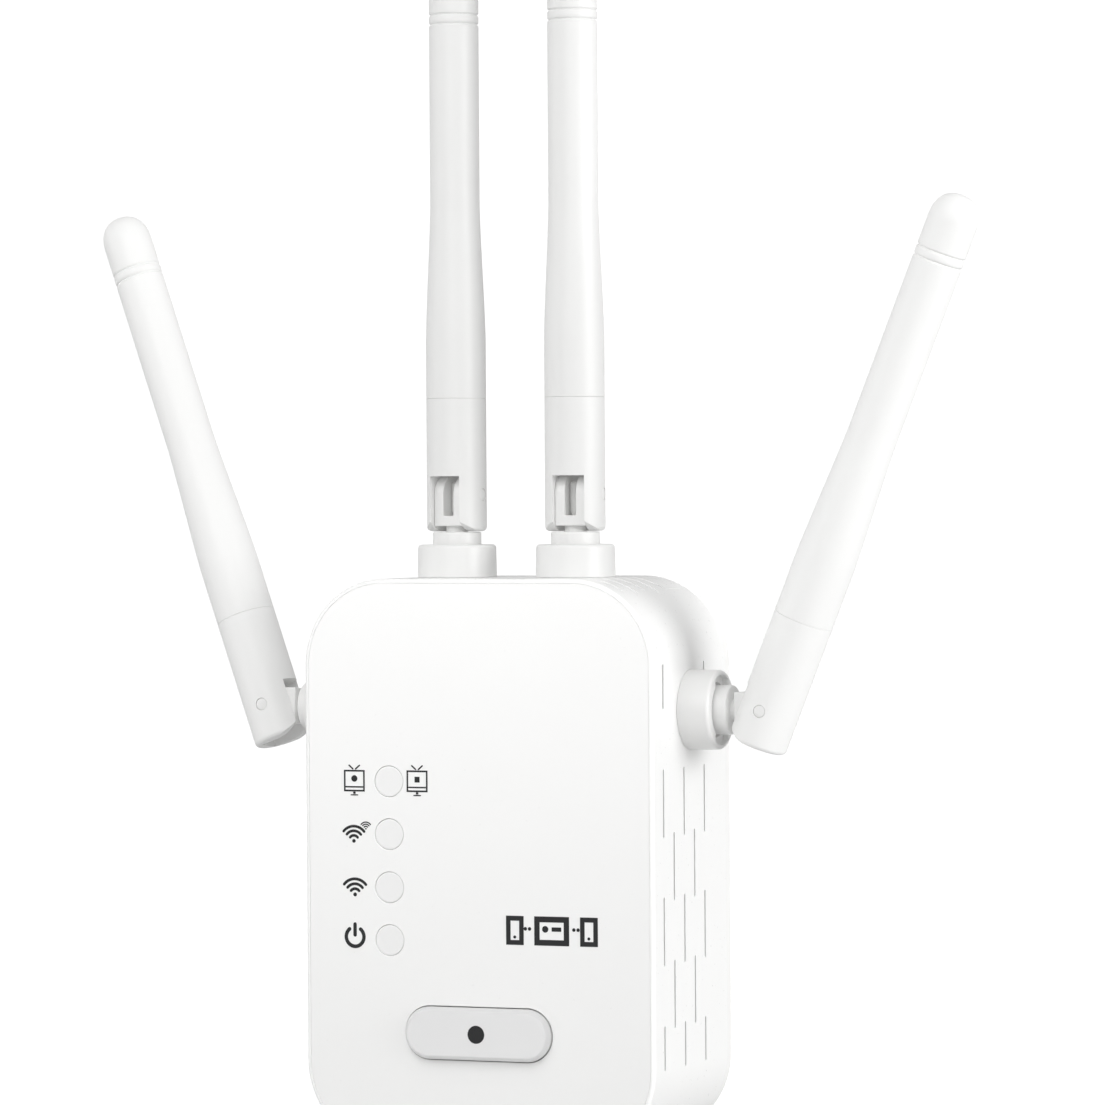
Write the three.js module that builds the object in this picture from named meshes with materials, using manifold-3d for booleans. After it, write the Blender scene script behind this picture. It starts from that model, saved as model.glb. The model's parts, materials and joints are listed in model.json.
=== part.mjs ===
// Wall-plug wifi range extender with four hinged antennas.
// Millimetres. Origin at the centre of the rear (wall) face, +Z up,
// -Y out of the front face, +X to the viewer's right when looking at the front.
import * as THREE from 'three';
import { mergeVertices } from 'three/addons/utils/BufferGeometryUtils.js';
import Module from 'manifold-3d';

const wasm = await Module();
wasm.setup();

// ---------------------------------------------------------------- shared dimensions
const BODY_W = 62.7;
const BODY_H = 95;
const BODY_D = 36;            // rear face to front face
const CORNER_R = 14.4;        // corner radius of the body outline
const CORNER_SEGS = 8;
const FRONT = -BODY_D;
const TOP = BODY_H / 2;
const SIDE = BODY_W / 2;
const GAP = 0.3;              // clearance between fitted parts

const PANEL_T = 1.6;          // front panel thickness
const PANEL_BACK = FRONT + PANEL_T;
const COVER_SPLIT = 2.85;     // depth of the line between housing and rear cover
const SPLIT_HALF = 0.1;       // half the width of that line
const SCREW_X = 23.7;
const SCREW_Z = 38.3;

const MAIN_BOARD_Y = [-17.1, -15.5];
const PARTS_BACK = MAIN_BOARD_Y[0] - GAP;   // rear of the parts on the main board
const POWER_BOARD_Y = [-5.2, -4.0];

const ANTENNA_Y = FRONT + 17.2;
const TOP_X = 10.8;           // top antennas, left and right of centre
const SIDE_Z = 25.5;          // side antennas, above centre
const SPIGOT_R = 5.2;         // part of the antenna collar inside the housing

const LED_X = -16;
const LED_Z = [13.75, 4.95, -3.9, -12.7];
const LENS_R = 2.55;
const BUTTON_Z = -27.85;
const BUTTON_W = 26.2;
const BUTTON_H = 8.7;
const RESET_X = 11;
const RESET_Y = -11;
const JACK_X = 8.6;
const JACK_W = 15.6;
const JACK_Y = [-30.4, PARTS_BACK];
const BLADE_Z = 14;
const BLADE_PITCH = 12.7;
const BLADE_W = 6.35;
const BLADE_T = 1.5;

// signs of x and z, anticlockwise from the top right
const CORNERS = [[1, 1], [-1, 1], [-1, -1], [1, -1]];
const SIDES = [['left', -1], ['right', 1]];
const SCREWS = CORNERS.map(([sx, sz]) => ({ sx, sz, x: sx * SCREW_X, z: sz * SCREW_Z }));

// ---------------------------------------------------------------- solids
const signedVolume = (positions, triangles) => {
  const corner = (i) => new THREE.Vector3().fromArray(positions, 3 * triangles[i]);
  let volume = 0;
  for (let i = 0; i < triangles.length; i += 3) {
    volume += corner(i).dot(corner(i + 1).cross(corner(i + 2)));
  }
  return volume;
};

// welds a geometry, drops collapsed triangles and turns its faces outward
const toSolid = (source) => {
  const bare = source.clone();
  bare.deleteAttribute('normal');
  bare.deleteAttribute('uv');
  const welded = mergeVertices(bare, 1e-5);
  const positions = welded.attributes.position.array;
  const index = welded.index.array;
  const triangles = [];
  for (let i = 0; i < index.length; i += 3) {
    const [a, b, c] = [index[i], index[i + 1], index[i + 2]];
    if (a !== b && b !== c && c !== a) triangles.push(a, b, c);
  }
  if (signedVolume(positions, triangles) < 0) triangles.reverse();
  return new wasm.Manifold(new wasm.Mesh({
    numProp: 3,
    vertProperties: new Float32Array(positions),
    triVerts: new Uint32Array(triangles),
  }));
};

const cut = (solid, cutters) => cutters.reduce((rest, cutter) => rest.subtract(cutter), solid);
const join = (solid, parts) => parts.reduce((sum, part) => sum.add(part), solid);

// span of a given size about a centre
const around = (centre, size) => [centre - size / 2, centre + size / 2];

// box from its spans; the ends of a span may come in either order
const box = (...spans) => toSolid(
  new THREE.BoxGeometry(...spans.map(([from, to]) => Math.abs(to - from)))
    .translate(...spans.map(([from, to]) => (from + to) / 2)));

// cylinder along an axis; at = its place on the other two axes, in x, y, z order
const cylinder = (axis, radius, [from, to], [a, b] = [0, 0], segs = 24) => {
  const rod = new THREE.CylinderGeometry(radius, radius, to - from, segs);
  rod.translate(0, (from + to) / 2, 0);
  if (axis === 'x') rod.rotateZ(-Math.PI / 2).translate(0, a, b);
  if (axis === 'y') rod.translate(a, 0, b);
  if (axis === 'z') rod.rotateX(Math.PI / 2).translate(a, b, 0);
  return toSolid(rod);
};

// turned part about +Z from [radius, z] points
const turned = (points, segs) => toSolid(
  new THREE.LatheGeometry(points.map(([r, z]) => new THREE.Vector2(r, z)), segs)
    .rotateX(Math.PI / 2));

const rectangle = (halfW, halfH) => CORNERS.map(([sx, sz]) => [sx * halfW, sz * halfH]);

const roundedOutline = (w, h, r, segs) => CORNERS.flatMap(([sx, sz], corner) => {
  const arc = [];
  for (let i = 0; i <= segs; i++) {
    const angle = THREE.MathUtils.degToRad(90 * corner + (90 * i) / segs);
    arc.push([sx * (w / 2 - r) + r * Math.cos(angle), sz * (h / 2 - r) + r * Math.sin(angle)]);
  }
  return arc;
});

// convex solid through [y, outline] levels, each outline a list of [x, z]
const loft = (levels, [centreX, centreZ] = [0, 0]) => {
  const n = levels[0][1].length;
  const positions = levels.flatMap(([y, outline]) => (
    outline.flatMap(([x, z]) => [x + centreX, y, z + centreZ])));
  const triangles = [];
  for (let level = 0; level + 1 < levels.length; level++) {
    for (let i = 0; i < n; i++) {
      const a = level * n + i;
      const b = level * n + ((i + 1) % n);
      triangles.push(a, b, b + n, a, b + n, a + n);
    }
  }
  const last = (levels.length - 1) * n;
  for (let i = 1; i + 1 < n; i++) {
    triangles.push(0, i + 1, i, last, last + i, last + i + 1);
  }
  const skin = new THREE.BufferGeometry();
  skin.setAttribute('position', new THREE.Float32BufferAttribute(positions, 3));
  skin.setIndex(triangles);
  return toSolid(skin);
};

// loft of the body outline through [y, inset] stations
const bodyLoft = (stations) => loft(stations.map(([y, inset]) => [
  y, roundedOutline(BODY_W - 2 * inset, BODY_H - 2 * inset, CORNER_R - inset, CORNER_SEGS),
]));

// rounded block along Y; edge = bevel round its front face
const pill = ({ w, h, r = h / 2, y: [front, back], at, edge = 0, segs = 8 }) => {
  const stations = edge
    ? [[front, edge], [front + edge, 0], [back, 0]]
    : [[front, 0], [back, 0]];
  return loft(stations.map(([y, inset]) => [
    y, roundedOutline(w - 2 * inset, h - 2 * inset, r - inset, segs),
  ]), at);
};

// ---------------------------------------------------------------- materials
const plastic = ({ color, roughness = 0.38 }) => (
  new THREE.MeshStandardMaterial({ color, roughness, metalness: 0 }));
const metal = ({ color, roughness }) => (
  new THREE.MeshStandardMaterial({ color, roughness, metalness: 1 }));
const MAT = {
  white: plastic({ color: 0xf5f5f3 }),
  antenna: plastic({ color: 0xf1f1ef, roughness: 0.5 }),
  neck: plastic({ color: 0xececea, roughness: 0.5 }),
  grey: plastic({ color: 0xe2e3e3 }),
  lens: plastic({ color: 0xeeeeec, roughness: 0.2 }),
  rear: plastic({ color: 0xf0f0ee, roughness: 0.55 }),
  insulator: plastic({ color: 0xe6e6e2, roughness: 0.6 }),
  black: plastic({ color: 0x141414, roughness: 0.5 }),
  board: plastic({ color: 0x1f5b35, roughness: 0.5 }),
  tan: plastic({ color: 0xb08d4a, roughness: 0.6 }),
  ceramic: plastic({ color: 0xfff3c4, roughness: 0.4 }),
  nickel: metal({ color: 0xc9c9c6, roughness: 0.25 }),
  steel: metal({ color: 0xa8a8a8, roughness: 0.35 }),
  brass: metal({ color: 0xc59b4b, roughness: 0.3 }),
  tin: metal({ color: 0xcfd1d2, roughness: 0.32 }),
};

const object = new THREE.Group();
object.name = 'wifi_range_extender';

// adds a mesh, with any placing matrix baked into its vertices
const add = (name, solid, material, matrix) => {
  const { vertProperties, triVerts } = solid.getMesh();
  const geometry = new THREE.BufferGeometry();
  const positions = new THREE.Float32BufferAttribute(Array.from(vertProperties), 3);
  geometry.setAttribute('position', positions);
  geometry.setIndex(Array.from(triVerts));
  if (matrix) geometry.applyMatrix4(matrix);
  geometry.computeVertexNormals();
  const mesh = new THREE.Mesh(geometry, material);
  mesh.name = name;
  object.add(mesh);
};

// ---------------------------------------------------------------- housing
const WALL = 1.8;
const FRONT_CHAMFER = 0.45;   // bevel round the front rim
const RIM_INSET = 0.75;       // rim's inner edge
const VENT_W = 0.6;           // slot width
const VENT_COLS = [4.6, 9.25, 13.9, 18.55, 23.2];   // slot columns, behind the front face
const VENT_LONG = 11.3;       // full slot
const VENT_SHORT = 7.4;       // slot at the end of a column
const TOP_VENT_L = 6.6;
const BOSS_Y = [-12.5, -6];

// ring open at both ends, with a rebate for the panel at the front
const makeShell = () => cut(
  bodyLoft([
    [FRONT, FRONT_CHAMFER], [FRONT + FRONT_CHAMFER, 0], [-COVER_SPLIT - SPLIT_HALF, 0],
  ]), [
    bodyLoft([[FRONT - 1, RIM_INSET], [PANEL_BACK + GAP, RIM_INSET]]),
    bodyLoft([[FRONT + 0.5, WALL], [0, WALL]]),
  ]);

// slots through both sides as [z, length]; neighbouring columns are staggered
const sideSlots = (column) => {
  if (column % 2) return [[0, VENT_LONG], [-21.1, VENT_LONG]];
  const slots = [[10.5, VENT_LONG], [-10.5, VENT_LONG], [-29.7, VENT_SHORT]];
  if (column === 0) slots.push([29.7, VENT_SHORT]);
  if (column === 4) slots.push([31.35, 4.1]);
  return slots;
};

// slots in the top as [centre x]: over both corners, and between the antennas
const topSlots = (column) => {
  const cornerX = (column % 2 ? 18.6 : 17.9) + TOP_VENT_L / 2;
  return column % 2 ? [-cornerX, cornerX] : [-cornerX, cornerX, 0];
};

const ventCutters = () => VENT_COLS.flatMap((depth, column) => {
  const y = around(FRONT + depth, VENT_W);
  return [
    ...sideSlots(column).map(([z, length]) => box([-SIDE - 1, SIDE + 1], y, around(z, length))),
    ...topSlots(column).map((x) => box(around(x, TOP_VENT_L), y, [TOP - 9, TOP + 1])),
  ];
});

// openings for the antenna collars, and for the jacks and reset button in the bottom wall
const openingCutters = () => {
  const bottom = [-TOP - 1, -TOP + 3];
  const collarR = SPIGOT_R + GAP;
  return [
    ...[-TOP_X, TOP_X].map((x) => (
      cylinder('z', collarR, [TOP - 4, TOP + 1], [x, ANTENNA_Y], 32))),
    cylinder('x', collarR, [-SIDE - 1, SIDE + 1], [ANTENNA_Y, SIDE_Z], 32),
    ...[-JACK_X, JACK_X].map((x) => (
      box(around(x, JACK_W + 2 * GAP), [JACK_Y[0] - GAP, JACK_Y[1] + GAP], bottom))),
    cylinder('z', 1.7, bottom, [RESET_X, RESET_Y], 20),
  ];
};

const makeHousing = () => {
  let housing = cut(makeShell(), [...ventCutters(), ...openingCutters()]);
  // screw bosses, tied to the walls by ribs
  SCREWS.forEach(({ sx, sz, x, z }) => {
    housing = join(housing, [
      cylinder('y', 3.2, BOSS_Y, [x, z], 16),
      box([x, sx * 29.0], BOSS_Y, around(z, 1.6)),
      box(around(x, 1.6), BOSS_Y, [z, sz * 44.5]),
    ]).subtract(cylinder('y', 1.5, [-11.9, -5], [x, z], 12));
  });
  // ledges behind the main board
  const ledges = [-1, 1].flatMap((sx) => [8, -30].map((z) => (
    box([sx * 25.4, sx * 29.8], [-15.2, -13.2], around(z, 3.2)))));
  return join(housing, ledges);
};
add('housing', makeHousing(), MAT.white);

// ---------------------------------------------------------------- front panel
const PANEL_INSET = 1.0;      // panel's outer edge, leaving a fine gap line
const PANEL_BEVEL = 0.1;

// tabs behind the panel: spans in x and z
const PANEL_TABS = [
  [[27.9, 29.1], [12, 18]],
  [[27.9, 29.1], [-18, -12]],
  [[-29.1, -27.9], [12, 18]],
  [[-29.1, -27.9], [-18, -12]],
  [[-4, 4], [44.2, 45.35]],
];

const makePanel = () => {
  const through = [FRONT - 1, PANEL_BACK + 1];
  const blank = bodyLoft([
    [FRONT, PANEL_INSET + PANEL_BEVEL],
    [FRONT + PANEL_BEVEL, PANEL_INSET],
    [PANEL_BACK, PANEL_INSET],
  ]);
  const pierced = cut(blank, [
    ...LED_Z.map((z) => cylinder('y', LENS_R + 0.2, through, [LED_X, z])),
    pill({ w: BUTTON_W + 2 * GAP, h: BUTTON_H + 2 * GAP, y: through, at: [0, BUTTON_Z] }),
  ]);
  return join(pierced, PANEL_TABS.map(([x, z]) => box(x, [PANEL_BACK - 0.4, FRONT + 5.4], z)));
};
add('front_panel', makePanel(), MAT.white);

// ---------------------------------------------------------------- rear cover
const REAR_ROUND = 1.2;       // rounding of the rear edge
const PLATE_T = 2.0;          // cover plate
const LIP_OUTER = 2.1;        // insets of the lip that enters the housing
const LIP_INNER = 3.3;
const SLOT_COUNT = 5;         // slots in each lower vent
const SLOT_PITCH = 3.4;

const makeCover = () => {
  let cover = bodyLoft([
    [-COVER_SPLIT + SPLIT_HALF, 0], [-REAR_ROUND, 0],
    [-0.5 * REAR_ROUND, 0.16], [-0.14 * REAR_ROUND, 0.6], [0, REAR_ROUND],
  ])
    .add(bodyLoft([[-5.5, LIP_OUTER], [-1, LIP_OUTER]]))
    .subtract(bodyLoft([[-6.5, LIP_INNER], [-PLATE_T, LIP_INNER]]));
  // counterbored screw bosses
  SCREWS.forEach(({ x, z }) => {
    cover = cover.add(cylinder('y', 3.45, [-5.7, -1], [x, z], 18))
      .subtract(cylinder('y', 2.5, [-2.6, 1], [x, z], 18))
      .subtract(cylinder('y', 1.5, [-7, 1], [x, z], 12));
  });
  // pegs behind the power board
  const pegs = [-17, 17].flatMap((x) => [-5, 31].map((z) => (
    cylinder('y', 1.5, [POWER_BOARD_Y[1] + GAP, -1], [x, z], 10))));
  cover = join(cover, pegs)
    .subtract(pill({ w: 30.6, h: 20.6, r: 4.3, y: [-4, 1], at: [0, BLADE_Z], segs: 6 }));
  [-12, 12].forEach((x) => {
    for (let i = 0; i < SLOT_COUNT; i++) {
      const z = -20 - SLOT_PITCH * i;
      cover = cover.subtract(box(around(x, 14), [-PLATE_T - 1, 1], around(z, 1.2)));
    }
  });
  return cover;
};
add('rear_cover', makeCover(), MAT.rear);

// ---------------------------------------------------------------- plug
const BLADE_L = 17;           // out from the rear face
const BLADE_TAPER = 1.6;      // length of the tapered end
const BLADE_HOLE_R = 1.6;
const BLADE_HOLE_Y = 11.9;
const BASE_FRONT = -3.4;
const BLADE_SLOT_GAP = 0.2;

// block filling the cover's opening, with a flange behind the plate's inner face
const makePlugBase = () => {
  const at = [0, BLADE_Z];
  const base = pill({ w: 30, h: 20, r: 4, y: [BASE_FRONT, -0.1], at, segs: 6 })
    .add(pill({ w: 33, h: 23, r: 5.5, y: [BASE_FRONT, -PLATE_T - GAP], at, segs: 6 }));
  return cut(base, SIDES.map(([, sx]) => box(
    around((sx * BLADE_PITCH) / 2, BLADE_T + 2 * BLADE_SLOT_GAP),
    [-5, 1],
    around(BLADE_Z, BLADE_W + 2 * BLADE_SLOT_GAP))));
};

const makeBlade = (x) => {
  const half = BLADE_W / 2;
  const taper = loft([
    [-4, rectangle(1, half)],
    [BLADE_L - BLADE_TAPER, rectangle(1, half)],
    [BLADE_L + 0.01, rectangle(0.35, half - 1.2)],
  ], [x, BLADE_Z]);
  return box(around(x, BLADE_T), [-3.7, BLADE_L], around(BLADE_Z, BLADE_W))
    .intersect(taper)
    .subtract(cylinder('x', BLADE_HOLE_R, [x - 2, x + 2], [BLADE_HOLE_Y, BLADE_Z], 20));
};
add('plug_base', makePlugBase(), MAT.insulator);
SIDES.forEach(([label, sx]) => {
  add(`plug_blade_${label}`, makeBlade((sx * BLADE_PITCH) / 2), MAT.nickel);
});

// ---------------------------------------------------------------- rear screws
const RECESS_L = 2.4;         // arms of the cross recess
const RECESS_W = 0.5;

const makeScrew = (x, z) => cylinder('y', 2.15, [-2.3, -0.9], [x, z], 20)
  .add(cylinder('y', 1.2, [-11.3, -1.5], [x, z], 12))
  .subtract(box(around(x, RECESS_L), [-1.6, 0], around(z, RECESS_W)))
  .subtract(box(around(x, RECESS_W), [-1.6, 0], around(z, RECESS_L)));
SCREWS.forEach(({ sx, sz, x, z }) => {
  const label = `${sz > 0 ? 'top' : 'bottom'}_${sx > 0 ? 'right' : 'left'}`;
  add(`cover_screw_${label}`, makeScrew(x, z), MAT.steel);
});

// ---------------------------------------------------------------- lenses and status LEDs
// lens, flange behind the panel, and stem back towards the LED
const makeLens = (z) => cylinder('y', LENS_R, [FRONT + 0.15, FRONT + 2], [LED_X, z])
  .add(cylinder('y', 3.3, [FRONT + 1.9, FRONT + 2.7], [LED_X, z], 16))
  .add(cylinder('y', 1.5, [FRONT + 2.5, -19.0], [LED_X, z], 12));
LED_Z.forEach((z, i) => {
  const led = box(around(LED_X, 1.6), [-18.2, PARTS_BACK], around(z, 1));
  add(`led_lens_${i + 1}`, makeLens(z), MAT.lens);
  add(`status_led_${i + 1}`, led, MAT.ceramic);
});

// ---------------------------------------------------------------- front button and its switch
const BUTTON_PROUD = 1.2;
const BUTTON_AT = [0, BUTTON_Z];

// cap, flange behind the panel, and stem
const makeButton = () => pill({
  w: BUTTON_W, h: BUTTON_H, y: [FRONT - BUTTON_PROUD, FRONT + 2.4],
  at: BUTTON_AT, edge: 0.45, segs: 10,
})
  .add(pill({ w: 28.7, h: 11.2, y: [FRONT + 1.9, FRONT + 2.9], at: BUTTON_AT }))
  .add(cylinder('y', 2.0, [FRONT + 2.5, -24.8], BUTTON_AT, 20));

const makeSwitchBody = () => box([-3, 3], [-21.0, PARTS_BACK], around(BUTTON_Z, 6))
  .subtract(cylinder('y', 2.0, [-21.5, -18.2], BUTTON_AT, 20));
add('front_button', makeButton(), MAT.grey);
add('button_switch_body', makeSwitchBody(), MAT.black);
add('button_switch_plunger', cylinder('y', 1.7, [-24.5, -19.2], BUTTON_AT, 20), MAT.tan);

// ---------------------------------------------------------------- main board and its parts
// board outline as [x, z]
const BOARD_OUTLINE = [
  [-27, -34], [-19, -44.5], [19, -44.5], [27, -34], [27, 16],
  [24, 16], [24, 38], [-24, 38], [-24, 16], [-27, 16],
];

const makeMainBoard = () => {
  const [front, back] = MAIN_BOARD_Y;
  const shape = new THREE.Shape(BOARD_OUTLINE.map(([x, z]) => new THREE.Vector2(x, z)));
  const slab = new THREE.ExtrudeGeometry(shape, { depth: back - front, bevelEnabled: false });
  return toSolid(slab.rotateX(Math.PI / 2).translate(0, back, 0));
};

// can open at the back
const makeShield = () => box([-10, 20], [-20.4, PARTS_BACK], [4, 30])
  .subtract(box([-9.6, 19.6], [-20, -17], [4.4, 29.6]));

// block open at the bottom; the opening narrows in steps towards the front
const makeJack = (x) => cut(box(around(x, JACK_W), JACK_Y, [-47.2, -33.2]), [
  box(around(x, 11.8), [-26.6, -19.6], [-48, -36]),
  box(around(x, 6.2), [-28.2, -26.4], [-48, -38]),
  box(around(x, 4), [-29.1, -28.1], [-48, -42]),
]);
add('main_board', makeMainBoard(), MAT.board);
add('rf_shield', makeShield(), MAT.tin);
add('line_transformer', box([6, 18], [-22.4, PARTS_BACK], [-31.6, -24.4]), MAT.black);
SIDES.forEach(([label, sx]) => add(`network_jack_${label}`, makeJack(sx * JACK_X), MAT.black));

// ---------------------------------------------------------------- reset button and its switch
const RESET_AT = [RESET_X, RESET_Y];

// cap, flange and stem
const makeReset = () => cylinder('z', 1.4, [-TOP + 0.4, -44.9], RESET_AT, 20)
  .add(cylinder('z', 2.3, [-45.4, -44.6], RESET_AT, 20))
  .add(cylinder('z', 0.8, [-44.8, -43.7], RESET_AT, 12));
add('reset_button', makeReset(), MAT.black);
add('reset_switch', box(around(RESET_X, 6), [-15.2, -9.2], [-42.7, -38.9]), MAT.tin);

// ---------------------------------------------------------------- power board and its parts
// block with two notches in its left side
const makePowerTransformer = () => cut(
  box([-16, -3], [-12.9, -5.5], [-4, 10]),
  [[-5, 0], [6, 11]].map((z) => box([-17, -13.4], [-11.4, -7], z)));
add('power_board', box([-20, 20], POWER_BOARD_Y, [-9, 35]), MAT.board);
add('power_transformer', makePowerTransformer(), MAT.tan);
add('main_capacitor', cylinder('z', 3.2, [-6, 8], [6, -8.8]), MAT.black);

// ---------------------------------------------------------------- antenna parts
// local frame: +Z out of the body surface along the neck, +X along the hinge,
// -Y the side the antenna folds towards
const PIVOT = 13.9;           // hinge axis, out from the body surface
const HINGE = [0, PIVOT];     // the same in y, z
const ON_AXIS = [0, 0];

const COLLAR_R = 6.6;
const COLLAR_H = 5.5;
const COLLAR_FILLET = 0.6;
const CUP_R = 4.6;
const CUP_FLOOR = 1.0;
const BORE_R = 3.3;
const SPIGOT_END = -3.0;
const NOTCH_R = 5.85;         // pockets either side of the cup
const NOTCH_W = 6;

const RING_R = 4.1;           // neck ring
const RING_TOP = 7.4;
const SHAFT_R = 1.8;
const KNUCKLE_W = 4.9;
const KNUCKLE_R = 2.8;
const KNUCKLE_BASE = 8.6;
const FORK_W = 1.9;           // slot in the knuckle
const FORK_BASE = 10.35;
const STUB_R = 1.0;           // hinge stubs
const STUB_END = 4.75;
const STUB_HOLE_R = 1.12;

const SLEEVE_R = 5.05;
const SLEEVE_END = 7.7;
const SLEEVE_TOP = SLEEVE_END + 22.4;
const WINDOW_W = 5.5;         // opening round the knuckle
const WINDOW_TOP = 3.2;
const WINDOW_BACK = 3.15;
const CHEEK_R = 6.2;
const TIP_R = 4.18;
const ANTENNA_L = 96.9;       // sleeve end to tip
const DOME_H = 5.2;
const DOME_STEPS = 4;
const GROOVE = 0.25;          // depth and half width of the grooves near the tip

const makeCollar = () => {
  const ring = turned([
    [BORE_R, SPIGOT_END], [SPIGOT_R, SPIGOT_END], [SPIGOT_R, 0.15], [COLLAR_R + 0.05, 0.15],
    [COLLAR_R, COLLAR_H - COLLAR_FILLET],
    [COLLAR_R - 0.29 * COLLAR_FILLET, COLLAR_H - 0.29 * COLLAR_FILLET],
    [COLLAR_R - COLLAR_FILLET, COLLAR_H],
    [CUP_R, COLLAR_H], [CUP_R, CUP_FLOOR], [BORE_R, CUP_FLOOR], [BORE_R, SPIGOT_END],
  ], 26);
  const pocket = cylinder('z', NOTCH_R, [CUP_FLOOR, 7], ON_AXIS, 40);
  return cut(ring, [[-7, -3.2], [3.2, 7]].map((y) => (
    pocket.intersect(box(around(0, NOTCH_W), y, [0.5, 8])))));
};

const makeNeck = () => {
  const knuckle = around(0, KNUCKLE_W);
  const [left, right] = knuckle;
  return turned([
    [0, -4.4], [3.7, -4.4], [3.7, -3.3], [3.0, -3.3], [3.0, 1.3], [RING_R, 1.3],
    [RING_R, RING_TOP - 0.2], [RING_R - 0.2, RING_TOP], [SHAFT_R, RING_TOP],
    [SHAFT_R, KNUCKLE_BASE + 0.5], [0, KNUCKLE_BASE + 0.5],
  ], 20)
    .add(box(knuckle, [-KNUCKLE_R, KNUCKLE_R], [KNUCKLE_BASE, PIVOT]))
    .add(cylinder('x', KNUCKLE_R, knuckle, HINGE))
    .subtract(box(around(0, FORK_W), [-4, 4], [FORK_BASE, PIVOT + 4]))
    .subtract(cylinder('z', 0.95, [-6, FORK_BASE + 1], ON_AXIS, 12))
    .add(cylinder('x', STUB_R, [right - 0.5, STUB_END], HINGE, 16))
    .add(cylinder('x', STUB_R, [-STUB_END, left + 0.5], HINGE, 16));
};

// sleeve with a spigot that enters the radome
const makeSleeve = () => {
  const blank = turned([
    [0, SLEEVE_END], [SLEEVE_R - 0.45, SLEEVE_END], [SLEEVE_R, SLEEVE_END + 0.45],
    [SLEEVE_R, SLEEVE_TOP], [3.6, SLEEVE_TOP], [3.6, SLEEVE_TOP + 6], [0, SLEEVE_TOP + 6],
  ], 28);
  return cut(blank, [
    box(around(0, WINDOW_W), [-7, WINDOW_BACK], [SLEEVE_END - 1, PIVOT + WINDOW_TOP]),
    // rounds the cheeks about the hinge on the folding side
    box([-7, 7], [-7, 0], [PIVOT - 7, PIVOT])
      .subtract(cylinder('x', CHEEK_R, [-8, 8], HINGE, 40)),
    cylinder('x', STUB_HOLE_R, [-7, 7], HINGE, 16),
    cylinder('z', 1.6, [PIVOT + 1, SLEEVE_TOP + 7], ON_AXIS, 12),
  ]);
};

const makeRadome = () => {
  const base = SLEEVE_TOP + 0.15;
  const tip = SLEEVE_END + ANTENNA_L;
  const groove = (z) => [[TIP_R, z - GROOVE], [TIP_R - GROOVE, z], [TIP_R, z + GROOVE]];
  const dome = [];
  for (let i = 0; i < DOME_STEPS; i++) {
    const angle = THREE.MathUtils.degToRad((90 * i) / DOME_STEPS);
    dome.push([TIP_R * Math.cos(angle), tip - DOME_H + DOME_H * Math.sin(angle)]);
  }
  return turned([
    // inside, from the tip down
    [0, tip - 6.5], [2.8, tip - 8], [2.8, 62], [3.9, 37], [3.9, base],
    // outside, from the base up
    [SLEEVE_R, base], [SLEEVE_R, SLEEVE_END + 33], [TIP_R, SLEEVE_END + 54],
    ...groove(SLEEVE_END + 85.4),
    ...groove(SLEEVE_END + 87),
    ...dome,
    [0, tip],
  ], 28);
};

// thin rod with a thicker middle
const makeRadiator = () => turned([
  [0, 19], [0.6, 19], [0.6, 38.6], [2.1, 38.6], [2.1, 60], [0.6, 60], [0.6, 91], [0, 91],
], 14);

// ---------------------------------------------------------------- antennas in place
const frame = (at, ...axes) => new THREE.Matrix4()
  .makeBasis(...axes.map((axis) => new THREE.Vector3(...axis)))
  .setPosition(...at);
const topFrame = (x) => frame([x, ANTENNA_Y, TOP], [1, 0, 0], [0, 1, 0], [0, 0, 1]);
const sideFrame = (sx) => (
  frame([sx * SIDE, ANTENNA_Y, SIDE_Z], [0, -sx, 0], [0, 0, -1], [sx, 0, 0]));

// turn about the neck and tilt from straight out, in degrees
const ANTENNAS = [
  { label: 'top_left', place: topFrame(-TOP_X), turn: -5, tilt: 0 },
  { label: 'top_right', place: topFrame(TOP_X), turn: 6.5, tilt: 0 },
  { label: 'side_left', place: sideFrame(-1), turn: 5, tilt: 69 },
  { label: 'side_right', place: sideFrame(1), turn: 0, tilt: 68 },
];

const collar = makeCollar();
const neck = makeNeck();
const cable = cylinder('z', 0.62, [-6.5, PIVOT + 2], ON_AXIS, 12);
const sleeve = makeSleeve();
const radome = makeRadome();
const radiator = makeRadiator();

ANTENNAS.forEach(({ label, place, turn, tilt }) => {
  const { degToRad } = THREE.MathUtils;
  const swivel = place.clone().multiply(new THREE.Matrix4().makeRotationZ(degToRad(turn)));
  const fold = swivel.clone()
    .multiply(new THREE.Matrix4().makeTranslation(0, 0, PIVOT))
    .multiply(new THREE.Matrix4().makeRotationX(degToRad(tilt)))
    .multiply(new THREE.Matrix4().makeTranslation(0, 0, -PIVOT));
  add(`collar_${label}`, collar, MAT.white, place);
  add(`neck_${label}`, neck, MAT.neck, swivel);
  add(`cable_${label}`, cable, MAT.black, swivel);
  add(`sleeve_${label}`, sleeve, MAT.antenna, fold);
  add(`radome_${label}`, radome, MAT.antenna, fold);
  add(`radiator_${label}`, radiator, MAT.brass, fold);
});

export default object;
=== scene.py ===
# A plug-in network device: a rounded upright box with four folding antennas.
# The front panel faces -Y, the rear cover and plug blades face +Y and the sockets open at -Z.
# Two antennas stand on the top (+Z) and one on each side (-X, +X).
# Shapes are modelled in millimetres and scaled to metres by piece(); lights are in metres.
import json
import math

import bmesh
import bpy
from mathutils import Matrix, Vector


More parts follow.
